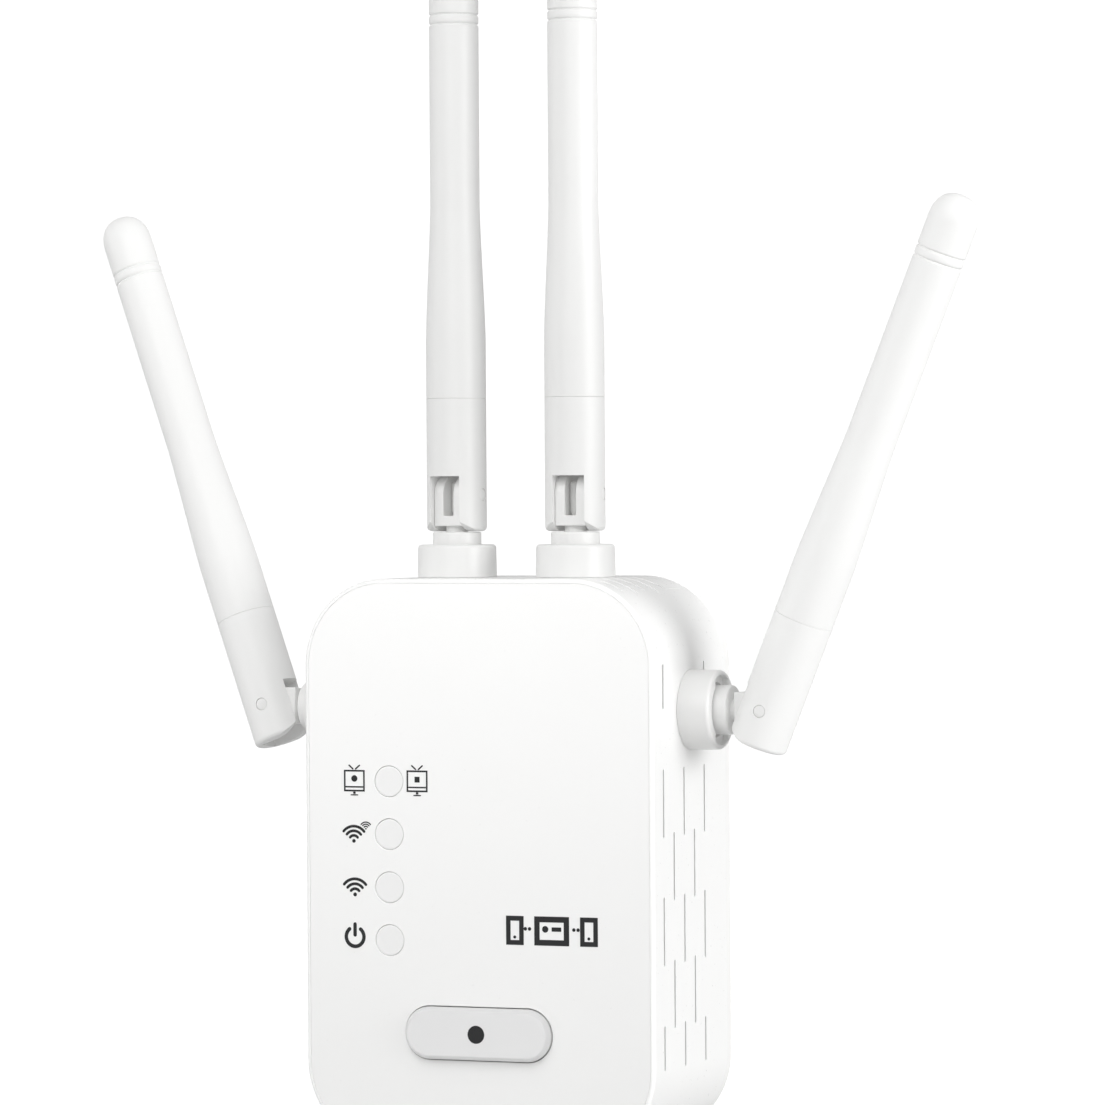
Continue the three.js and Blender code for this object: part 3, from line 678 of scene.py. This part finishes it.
def make_lens_symbols():
    """Symbols beside the four lenses."""
    bm = bmesh.new()
    x = LENSES[0][0]
    z1, z2, z3, z4 = [z for _, z in LENSES]
    ink_screen(bm, x - 6.3, z1)
    ink_screen(bm, x + 5.15, z1 + 0.05)
    ink_disc(bm, x - 6.3, z1 + 0.42, 0.55)
    ink_rect(bm, x + 4.7, x + 5.6, z1 - 0.1, z1 + 0.85)
    ink_fan(bm, x - 6.45, z2 - 1.2, 3.3)
    ink_fan(bm, x - 4.25, z2 + 0.85, 1.5)
    ink_fan(bm, x - 6.3, z3 - 1.3, 3.5)
    # open ring with a bar through its gap
    ring_x, ring_z, ring_r, line = x - 6.35, z4 + 0.45, 1.62, 0.62
    ink_strip(bm, arc(ring_x, ring_z, ring_r, ring_r, steps(52, -232, 28)), line)
    ink_strip(bm, [(ring_x, ring_z + 2.1), (ring_x, ring_z + 0.3)], line)
    ink_piece("printed_symbols", bm, "enclosure")


def make_relay_pictogram():
    """A wide frame between two narrow ones, joined by dots."""
    bm = bmesh.new()
    x, z = 13.2, -9.4
    bottom, top, dots_z = z - 3.5, z + 1.3, z - 0.8
    ink_frame(bm, x - 3.1, x + 3.1, bottom, top, 0.95)
    ink_disc(bm, x - 1.15, dots_z, 0.55)
    ink_rect(bm, x, x + 1.7, z - 1.15, z - 0.45)
    for sx in (-1, 1):
        side_x = x + sx * 6.6
        ink_frame(bm, side_x - 1.55, side_x + 1.6, bottom, top, 0.8)
        ink_disc(bm, side_x, z - 2.2, 0.26)
        ink_disc(bm, x + sx * 3.95, dots_z, 0.3)
        ink_disc(bm, x + sx * 4.7, dots_z, 0.3)
    ink_piece("printed_relay_pictogram", bm, "enclosure")


def make_button_dot():
    bm = extrude(bmesh.new(), circle(1.5, 40, (0, BUTTON_Z)), BUTTON_FRONT, BUTTON_FRONT + 0.09)
    ink_piece("printed_button_pictogram", bm, "front_button")


# ------------------------------------------------------------------ rear cover, its back at y = 0
def rear_cutter():
    """Screw wells, plug recess and two banks of slots."""
    cut = bmesh.new()
    well = [(0, -2.6), (2.5, -2.6), (2.5, -0.18), (2.56, -0.05), (2.75, 0.05), (3.2, 0.5),
            (0, 0.5)]
    for sx, sz in CORNERS:
        at = (sx * SCREW_X, sz * SCREW_Z)
        lathe(cut, well, 48, "y", at)
        rod(cut, "y", 1.5, -7, -2.5, at, 32)
    recess = [(0.0, -4), (0.0, -0.16), (-0.05, -0.05), (-0.2, 0.05), (-0.6, 0.5)]
    sweep(cut, recess, PLUG_W + 2 * PLUG_GAP, PLUG_H + 2 * PLUG_GAP, PLUG_R + PLUG_GAP,
          PLUG_SEGS, PLUG_Z)
    slot_x, slot_top, slot_pitch = 12, -20, 3.4
    for sx in (-1, 1):
        for i in range(5):
            z0 = slot_top - slot_pitch * i
            slot_cutter(cut, lambda s, t, h: (sx * slot_x + s, h, z0 + t),
                        length=14, width=1.2, depth=3.0, flare=0.16, end_segs=8)
    return cut


def make_rear_cover():
    edge_r = 1.2
    profile = [(0.02, -2.90), (0.0, -2.88), (0.0, -edge_r)]
    profile += arc(edge_r, -edge_r, -edge_r, edge_r, (15, 30, 45, 60, 75, 90))
    lip = body_sweep([(2.15, -5.42), (2.1, -5.36), (2.1, -1.0)])
    bm = boolean(body_sweep(profile), lip, "UNION")
    bm = boolean(bm, body_sweep([(3.3, -6.5), (3.3, -2.0)]))
    posts = bmesh.new()
    for sx, sz in CORNERS:
        rod(posts, "y", 3.45, -5.7, -1.0, (sx * SCREW_X, sz * SCREW_Z), 40)
    bm = boolean(bm, posts, "UNION")
    bm = boolean(bm, rear_cutter())
    piece("rear_cover_plate", bm, REAR, "enclosure", "rear_cover")


def make_plug_insulator():
    bm = sweep(bmesh.new(), [(0.35, -0.12), (0.1, -0.16), (0.0, -0.42), (0.0, -2.3)],
               PLUG_W, PLUG_H, PLUG_R, PLUG_SEGS, PLUG_Z)
    flange = sweep(bmesh.new(), [(0, -3.4), (0, -2.3)], 33, 23, 5.5, PLUG_SEGS, PLUG_Z)
    bm = boolean(bm, flange, "UNION")
    cut = bmesh.new()
    for label in ("left", "right"):
        x = box_centre("plug_blade_" + label)[0]
        extrude(cut, outline(BLADE_T + BLADE_CLEARANCE, BLADE_H + BLADE_CLEARANCE, 0.12, 4,
                             (x, PLUG_Z)), -5, 1)
    bm = boolean(bm, cut)
    piece("plug_insulator", bm, INSULATOR, "enclosure", "plug_base")


def make_plug_blade(label):
    node = "plug_blade_" + label
    x = box_centre(node)[0]
    tip = mm_box(node)[1].y
    half = BLADE_H / 2
    rings = []
    # (y, half thickness, half height)
    for y, half_t, half_h in ((-3.7, BLADE_T / 2, half), (tip - 2.4, BLADE_T / 2, half),
                              (tip - 1.5, 0.72, half - 0.12), (tip - 0.8, 0.56, half - 0.55),
                              (tip - 0.25, 0.36, half - 1.0), (tip, 0.22, half - 1.3)):
        points = outline(2 * half_t, 2 * half_h, min(0.14, half_t * 0.5), 4, (x, PLUG_Z))
        rings.append([(u, y, v) for u, v in points])
    bm = bmesh.new()
    skin(bm, rings)
    hole = [(0, x - 2), (1.95, x - 2), (1.95, x - 0.95), (1.6, x - 0.6),
            (1.6, x + 0.6), (1.95, x + 0.95), (1.95, x + 2), (0, x + 2)]
    bm = boolean(bm, lathe(bmesh.new(), hole, 40, "x", (11.9, PLUG_Z)))
    piece("plug_pin_" + label, bm, NICKEL, "enclosure", node)


def make_screw(label, sx, sz):
    x, z = sx * SCREW_X, sz * SCREW_Z
    # (radius, y): domed head, shank, point
    profile = [(0, -0.9), (0.7, -0.91), (1.4, -0.98), (1.9, -1.12), (2.1, -1.3), (2.15, -1.5),
               (2.15, -2.25), (2.1, -2.3), (1.2, -2.3), (1.2, -10.9), (0.7, -11.3), (0, -11.3)]
    bm = lathe(bmesh.new(), profile, 48, "y", (x, z))
    long, short, depth = (-1.15, 1.15), (-0.26, 0.26), (-1.75, 0)
    cross = boolean(block(bmesh.new(), long, depth, short),
                    block(bmesh.new(), short, depth, long), "UNION")
    # each cross is turned differently
    turn = Matrix.Rotation(math.radians(20 + 37 * (sx + 2 * sz)), 4, "Y")
    cross.transform(Matrix.Translation((x, 0, z)) @ turn)
    bm = boolean(bm, cross)
    piece("screw_" + label, bm, STEEL, "enclosure", "cover_screw_" + label)


# ------------------------------------------------------------------ underside
def make_socket(label):
    lo, hi = JACKS[label]
    x = (lo.x + hi.x) / 2
    bm = block(bmesh.new(), (lo.x, hi.x), (lo.y, hi.y), (lo.z, hi.z), 0.18)
    # a stepped opening: half width, y span, inner end in z
    for half, ys, inner_z in ((5.9, (lo.y + 3.8, hi.y - 2.2), -36),
                              (3.1, (lo.y + 2.2, lo.y + 4.2), -38),
                              (2.0, (lo.y + 1.3, lo.y + 2.6), -42)):
        bm = boolean(bm, block(bmesh.new(), (x - half, x + half), ys, (-48.5, inner_z)))
    bm = rounded(bm, 0.12, 2, 50)
    piece("socket_" + label, bm, BLACK, "enclosure", "network_jack_" + label)


def make_socket_contacts(label):
    """Eight bent strips inside a socket."""
    lo, hi = JACKS[label]
    count, pitch, half_w, half_t = 8, 1.02, 0.2, 0.14
    # (y, z) along a strip
    path = [(hi.y - 2.35, -46.2), (hi.y - 2.6, -44.4), (hi.y - 4.2, -41.6),
            (hi.y - 5.6, -39.4), (hi.y - 6.0, -36.3)]
    bm = bmesh.new()
    for k in range(count):
        x = (lo.x + hi.x) / 2 + pitch * (k - (count - 1) / 2)
        rings = []
        for i, (y, z) in enumerate(path):
            y0, z0 = path[max(i - 1, 0)]
            y1, z1 = path[min(i + 1, len(path) - 1)]
            along = Vector((0, y1 - y0, z1 - z0)).normalized()
            thick = Vector((0, -along.z, along.y)) * half_t
            rings.append([Vector((x, y, z)) + Vector((u, 0, 0)) + thick * side
                          for u, side in rectangle(-half_w, half_w, -1, 1)])
        skin(bm, rings)
    piece("socket_contacts_" + label, bm, GOLD, "enclosure", smooth=45, weighted=False)


def make_reset_button():
    z = RESET_BOTTOM
    profile = [(0, z + 0.12), (0.7, z + 0.10), (1.05, z + 0.03), (1.2, z), (1.34, z + 0.04),
               (1.4, z + 0.16), (1.4, -45.4), (2.3, -45.4), (2.3, -44.6), (0.8, -44.6),
               (0.8, -43.7), (0, -43.7)]
    bm = lathe(bmesh.new(), profile, 40, "z", RESET_AT)
    piece("reset_key", bm, BLACK, "reset_button", "reset_button")


# ------------------------------------------------------------------ antennas, local frame
# +Z out along the neck, +X along the hinge, -Y the side the antenna folds towards
def collar_mesh():
    fillet = COLLAR_FILLET
    profile = [(BORE_R, -3.0), (SPIGOT_R, -3.0), (SPIGOT_R, 0.04), (COLLAR_R + 0.06, 0.04),
               (COLLAR_R + 0.09, 0.10)]
    profile += arc(COLLAR_R - fillet, COLLAR_H - fillet, fillet, fillet, steps(0, 90, 6))
    profile += [(CUP_R + 0.16, COLLAR_H), (CUP_R + 0.05, COLLAR_H - 0.05),
                (CUP_R, COLLAR_H - 0.16), (CUP_R, 3.6), (RING_R + 0.08, 3.6),
                (RING_R + 0.08, 1.0), (BORE_R, 1.0)]
    bm = lathe(bmesh.new(), profile, 80, closed=True)
    # two opposite notches in the rim, with a round outer end
    notches = bmesh.new()
    for ys in ((-7.0, -3.4), (3.4, 7.0)):
        block(notches, (-NOTCH_HALF, NOTCH_HALF), ys, (4.5, 7))
    disc = rod(bmesh.new(), "z", NOTCH_R, 0.5, 8, segs=96)
    return boolean(bm, boolean(notches, disc, "INTERSECT"))


def knuckle_mesh():
    """A flat-based, round-headed block, slotted from the top."""
    half_w = KNUCKLE_W / 2
    # outline in Y and Z
    points = [(-KNUCKLE_R, KNUCKLE_BASE), (KNUCKLE_R, KNUCKLE_BASE)]
    points += arc(0, PIVOT, KNUCKLE_R, KNUCKLE_R, range(0, 181, 6))
    bm = rounded(extrude(bmesh.new(), points, -half_w, half_w, "x"), 0.24, 3, 50)
    slot = block(bmesh.new(), (-FORK_W / 2, FORK_W / 2), (-4, 4), (FORK_BASE, PIVOT + 4))
    return rounded(boolean(bm, slot), 0.16, 2, 60)


def neck_mesh():
    edge = 0.3
    profile = [(0, -4.4), (3.6, -4.4), (3.7, -4.3), (3.7, -3.3), (3.0, -3.3), (3.0, 1.3),
               (RING_R - 0.05, 1.3), (RING_R, 1.4), (RING_R, RING_TOP - edge)]
    profile += arc(RING_R - edge, RING_TOP - edge, edge, edge, (22.5, 45, 67.5, 90))
    profile += [(SHAFT_R + 0.25, RING_TOP), (SHAFT_R + 0.06, RING_TOP + 0.07),
                (SHAFT_R, RING_TOP + 0.25), (SHAFT_R, KNUCKLE_BASE + 0.5),
                (0, KNUCKLE_BASE + 0.5)]
    bm = boolean(lathe(bmesh.new(), profile, 72), knuckle_mesh(), "UNION")
    # cable bore, then the hinge stubs
    bm = boolean(bm, rod(bmesh.new(), "z", 0.95, -6, FORK_BASE + 1, segs=32))
    root = KNUCKLE_W / 2 - 0.5
    stubs = bmesh.new()
    for start, end in ((root, STUB_END), (-STUB_END, -root)):
        rod(stubs, "x", STUB_R, start, end, (0, PIVOT), 40, 0.10)
    return boolean(bm, stubs, "UNION")


def cable_mesh():
    return lathe(bmesh.new(), [
        (0, -6.5), (0.5, -6.5), (0.62, -6.4), (0.62, FORK_BASE + 0.3), (0.82, FORK_BASE + 0.7),
        (0.82, PIVOT + 1.8), (0.62, PIVOT + 2.1), (0, PIVOT + 2.1)], 28)


def sleeve_mesh():
    edge = 0.8
    top, start = SLEEVE_TOP, SLEEVE_START
    profile = [(0, start), (SLEEVE_R - edge, start)]
    profile += arc(SLEEVE_R - edge, start + edge, edge, edge, (-72, -54, -36, -18, 0))
    profile += [(SLEEVE_R, start + 6), (SLEEVE_R, start + 12), (SLEEVE_R, top - 0.05),
                (SLEEVE_R - 0.05, top), (3.6, top), (3.6, top + 6), (0, top + 6)]
    bm = lathe(bmesh.new(), profile, 96)
    # outside the cheek circle, below the hinge, on the fold side; outline in Y and Z
    points = [(-7.0, PIVOT)] + arc(0, PIVOT, -CHEEK_R, -CHEEK_R, range(0, 91, 5))
    points += [(0, PIVOT - 7), (-7, PIVOT - 7)]
    bm = rounded(boolean(bm, extrude(bmesh.new(), points, -7, 7, "x")), 0.75, 4, 38)
    window = block(bmesh.new(), (-WINDOW_W / 2, WINDOW_W / 2), (-7, WINDOW_BACK),
                   (start - 1, PIVOT + WINDOW_TOP))
    bm = rounded(boolean(bm, window), 0.17, 2, 55)
    # hinge holes and the bore along the antenna
    holes = rod(bmesh.new(), "x", STUB_R + 0.06, -7, 7, (0, PIVOT), 40)
    rod(holes, "z", 1.6, PIVOT + 1, top + 7, segs=32)
    return boolean(bm, holes)


def radome_mesh():
    start = SLEEVE_START
    joint = SLEEVE_TOP + 0.03
    tip = start + ANTENNA_L
    taper_start, taper_l = start + 32.5, 22
    profile = [(0, tip - 6.5), (2.8, tip - 8), (2.8, 62), (3.9, 37), (3.9, joint),
               (SLEEVE_R - 0.04, joint), (SLEEVE_R, joint + 0.05), (SLEEVE_R, start + 26),
               (SLEEVE_R, start + 31)]
    # the taper starts and ends softly
    for t in (0.0, 0.06, 0.14, 0.25, 0.4, 0.6, 0.75, 0.86, 0.94, 1.0):
        eased = t * t * (3 - 2 * t) * 0.35 + t * 0.65
        profile.append((SLEEVE_R + (TIP_R - SLEEVE_R) * eased, taper_start + taper_l * t))
    profile += [(TIP_R, start + 60), (TIP_R, start + 70), (TIP_R, start + 80)]
    # two grooves: (offset along the antenna, depth)
    groove = ((-0.34, 0), (-0.26, 0.03), (-0.17, 0.12), (-0.08, 0.21), (0, 0.25),
              (0.08, 0.21), (0.17, 0.12), (0.26, 0.03), (0.34, 0))
    for station in (85.4, 87.0):
        profile += [(TIP_R - depth, start + station + dz) for dz, depth in groove]
    # rounded cap: flat crown with a broad shoulder
    cap = 4.6
    for degrees in steps(0, 90, 14):
        angle = math.radians(degrees)
        profile.append((TIP_R * math.cos(angle) ** 0.8,
                        tip - cap + cap * math.sin(angle) ** 0.95))
    return lathe(bmesh.new(), profile, 96)


def axes_matrix(x, y, z, at):
    matrix = Matrix((x, y, z)).transposed().to_4x4()
    matrix.translation = at
    return matrix


COLLAR_X = {"top_left": (1, 0, 0), "top_right": (1, 0, 0),
            "side_left": (0, 1, 0), "side_right": (0, -1, 0)}


def antenna_frames(label):
    """Frames of one antenna's collar, its swivelling neck and its folded antenna."""
    origin = joint_pos(label + "_swivel")
    pivot = joint_pos(label + "_fold")
    outward = (pivot - origin).normalized()
    hinge = joint_axis(label + "_fold")

    def basis(x, z, at):
        return axes_matrix(x, z.cross(x).normalized(), z, at)

    # the antenna's direction at rest comes from its radiator, square to the hinge
    along = Vector(box_centre("radiator_" + label)) - pivot
    along = (along - hinge * along.dot(hinge)).normalized()
    return (basis(Vector(COLLAR_X[label]), outward, origin),
            basis(hinge, outward, origin),
            basis(hinge, along, pivot) @ Matrix.Translation((0, 0, -PIVOT)))


def make_antennas():
    masters = {"collar": collar_mesh(), "neck": neck_mesh(), "cable": cable_mesh(),
               "sleeve": sleeve_mesh(), "radome": radome_mesh()}
    for label in COLLAR_X:
        fixed, swivel, fold = antenna_frames(label)
        # painted shade: the top pair take the darker copy of the antenna plastic
        painted_tone = ANTENNA_SHADED_TOP if label.startswith("top") else ANTENNA_SIDE
        for part, mat, body, slot, matrix in (
                ("collar", COLLAR, "enclosure", "white_shell", fixed),
                ("neck", NECK, "swivel_" + label, "white_neck", swivel),
                ("cable", CABLE, "swivel_" + label, "black_cable", swivel),
                ("sleeve", painted_tone, "antenna_" + label, "white_antenna", fold),
                ("radome", painted_tone, "antenna_" + label, "white_antenna", fold)):
            piece(f"antenna_{part}_{label}", masters[part].copy(), mat, body,
                  f"{part}_{label}", matrix, smooth=50 if part == "radome" else 32)
    for bm in masters.values():
        bm.free()


# ------------------------------------------------------------------ carried-over inner parts
def color_inner_parts():
    parts = {
        "main_board": BOARD, "power_board": BOARD, "rf_shield": TIN, "reset_switch": TIN,
        "line_transformer": BLACK, "button_switch_body": BLACK,
        "button_switch_plunger": BROWN, "power_transformer": BROWN,
        "main_capacitor": SLEEVING,
    }
    for i in range(1, 5):
        parts[f"status_led_{i}"] = CERAMIC
    for label in COLLAR_X:
        parts["radiator_" + label] = BRASS
    for node, mat in parts.items():
        materials = frame["nodes"][node].data.materials
        materials.clear()
        materials.append(mat)


# ------------------------------------------------------------------ stage, in metres
def strength_switch(tree, lighting, direction_node, direction_socket, sign, base):
    """One strength for lighting the object and another for what the camera sees.

    The camera sees white from the front and the rear, and pale grey when it looks
    at the brightly lit right side. sign is 1 or -1 as the direction vector points
    towards or away from the camera; base is added to the seen strength.
    """
    light_path = add_node(tree, "ShaderNodeLightPath")
    switch = add_node(tree, "ShaderNodeMapRange", {"To Min": lighting})
    tree.links.new(light_path.outputs["Is Camera Ray"], switch.inputs["Value"])
    direction = add_node(tree, direction_node)
    xyz = add_node(tree, "ShaderNodeSeparateXYZ")
    tree.links.new(direction.outputs[direction_socket], xyz.inputs[0])
    seen = add_node(tree, "ShaderNodeMapRange", {
        "From Min": 0.43 * sign, "From Max": 0.68 * sign,
        "To Min": 0.75 + base, "To Max": 0.48 + base})
    tree.links.new(xyz.outputs[0], seen.inputs["Value"])
    tree.links.new(seen.outputs[0], switch.inputs["To Max"])
    return switch.outputs[0]


def make_floor():
    half, z = 6.0, CAD_LO.z - 0.0002
    mesh = bpy.data.meshes.new("floor")
    bm = bmesh.new()
    bm.faces.new([bm.verts.new((x, y, z)) for x, y in rectangle(-half, half, -half, half)])
    bm.to_mesh(mesh)
    bm.free()
    ob = bpy.data.objects.new("floor", mesh)
    scene.collection.objects.link(ob)
    mat = bpy.data.materials.new("pale_floor")
    tree = empty_tree(mat)
    out = add_node(tree, "ShaderNodeOutputMaterial")
    add = add_node(tree, "ShaderNodeAddShader")
    diffuse = add_node(tree, "ShaderNodeBsdfDiffuse", {"Color": (0.60, 0.60, 0.60, 1)})
    emission = add_node(tree, "ShaderNodeEmission", {"Color": (1, 1, 1, 1)})
    strength = strength_switch(tree, lighting=0.12, direction_node="ShaderNodeNewGeometry",
                               direction_socket="Incoming", sign=1, base=0.0)
    tree.links.new(strength, emission.inputs["Strength"])
    tree.links.new(diffuse.outputs[0], add.inputs[0])
    tree.links.new(emission.outputs[0], add.inputs[1])
    tree.links.new(add.outputs[0], out.inputs[0])
    mesh.materials.append(mat)
    return ob


def make_world():
    world = bpy.data.worlds.new("studio")
    scene.world = world
    tree = empty_tree(world)
    out = add_node(tree, "ShaderNodeOutputWorld")
    background = add_node(tree, "ShaderNodeBackground", {"Color": (1, 1, 1, 1)})
    strength = strength_switch(tree, lighting=0.56, direction_node="ShaderNodeTexCoord",
                               direction_socket="Generated", sign=-1, base=0.336)
    tree.links.new(strength, background.inputs["Strength"])
    tree.links.new(background.outputs[0], out.inputs[0])


def area(name, at, to, size, power, receivers=None):
    """A square light aimed at a point; receivers limits what it lights."""
    data = bpy.data.lights.new(name, "AREA")
    data.shape = "RECTANGLE"
    data.size = size
    data.size_y = size
    data.energy = power
    ob = bpy.data.objects.new(name, data)
    scene.collection.objects.link(ob)
    ob.location = at
    ob.rotation_euler = (Vector(to) - Vector(at)).to_track_quat("-Z", "Y").to_euler()
    if receivers:
        ob.light_linking.receiver_collection = receivers
    return ob


def light_set(name, wanted):
    collection = bpy.data.collections.new(name)
    for ob in [o for o in scene.objects if o.type == "MESH" and wanted(o)]:
        collection.objects.link(ob)
    return collection


def make_lights(floor):
    body = light_set("lit_by_face_light", lambda o: o is not floor and not (
        o.name.startswith("antenna_") or o.name in ("button_pad", "housing_shell")))
    antennas = light_set("lit_by_key", lambda o: o.name.startswith("antenna_"))
    button = light_set("lit_by_button_light", lambda o: o.name == "button_pad")
    shell = light_set("lit_by_rim_light", lambda o: o.name == "housing_shell")
    all_but_button = light_set("lit_from_the_right", lambda o: o.name != "button_pad")
    rear = light_set("lit_from_behind", lambda o: o.name.startswith(("rear_", "plug_", "screw_")))

    aim = (0, -0.02, 0.05)
    area("key", at=(0.0, -0.55, 0.34), to=(0, -0.03, 0.03), size=0.40, power=1.15,
         receivers=antennas)
    area("fill_antennas", at=(1.0, -0.5, 0.6), to=(0, 0, 0.1), size=0.7, power=1.8,
         receivers=antennas)
    # a close light from above for the body
    area("face_light", at=(-0.02, -0.25, 0.295), to=(0, -0.036, 0.02), size=0.27, power=1.02,
         receivers=body)
    # lights the housing's front edge level with the panel; its top stays soft grey
    area("rim_light", at=(0.0, -0.47, 0.21), to=(0, -0.036, 0.02), size=0.30, power=1.25,
         receivers=shell)
    area("button_light", at=(0.06, -0.50, 0.03), to=(0, -0.036, -0.028), size=0.5, power=1.68,
         receivers=button)
    area("fill_antennas_left", at=(-0.9, -0.7, 0.3), to=(-0.02, 0, 0.1), size=0.8, power=2.4,
         receivers=antennas)
    area("fill_left", at=(-1.1, -0.9, 0.4), to=aim, size=0.9, power=1.3)
    fill_right = area("fill_right", at=(1.25, -0.08, 0.0), to=aim, size=0.8, power=17.0,
                      receivers=all_but_button)
    fill_right.data.specular_factor = 0.0     # no glare on the side wall
    area("top", at=(0.1, 0.2, 1.5), to=aim, size=1.0, power=1.0)
    area("rear_light", at=(-0.35, 1.0, 0.45), to=(0, 0, 0), size=0.6, power=2.6,
         receivers=rear)


def make_camera():
    azimuth, elevation, roll = [math.radians(a) for a in (22.609, 0.632, -0.373)]
    # mm: distance, shift to the camera's right, and the depth and height it looks at
    distance, shift, target_y, target_z = 939.70, 6.573, -20, 51.589
    back = Vector((math.sin(azimuth) * math.cos(elevation),
                   -math.cos(azimuth) * math.cos(elevation), math.sin(elevation)))
    right = Vector((math.cos(azimuth), math.sin(azimuth), 0))
    up = back.cross(right)
    rolled_right = right * math.cos(roll) + up * math.sin(roll)
    rolled_up = up * math.cos(roll) - right * math.sin(roll)
    location = Vector((0, target_y, target_z)) + right * shift + back * distance
    data = bpy.data.cameras.new("camera")
    data.sensor_width = 36
    data.sensor_fit = "HORIZONTAL"
    data.lens = 182.32941
    data.clip_start = 0.01
    data.clip_end = 50
    camera = bpy.data.objects.new("camera", data)
    scene.collection.objects.link(camera)
    camera.matrix_world = axes_matrix(rolled_right, rolled_up, back, location * MM)
    scene.camera = camera
    scene.view_settings.view_transform = "Standard"
    scene.view_settings.look = "None"
    scene.view_settings.exposure = 0.0


# ------------------------------------------------------------------ build
make_housing()
make_front_panel()
make_light_pipes()
make_front_button()
make_lens_symbols()
make_relay_pictogram()
make_button_dot()
make_rear_cover()
make_plug_insulator()
for side in ("left", "right"):
    make_plug_blade(side)
make_screw("top_right", 1, 1)
make_screw("top_left", -1, 1)
make_screw("bottom_left", -1, -1)
make_screw("bottom_right", 1, -1)
for side in ("left", "right"):
    make_socket(side)
    make_socket_contacts(side)
make_reset_button()
make_antennas()
color_inner_parts()
stage_floor = make_floor()
make_world()
make_lights(stage_floor)
make_camera()
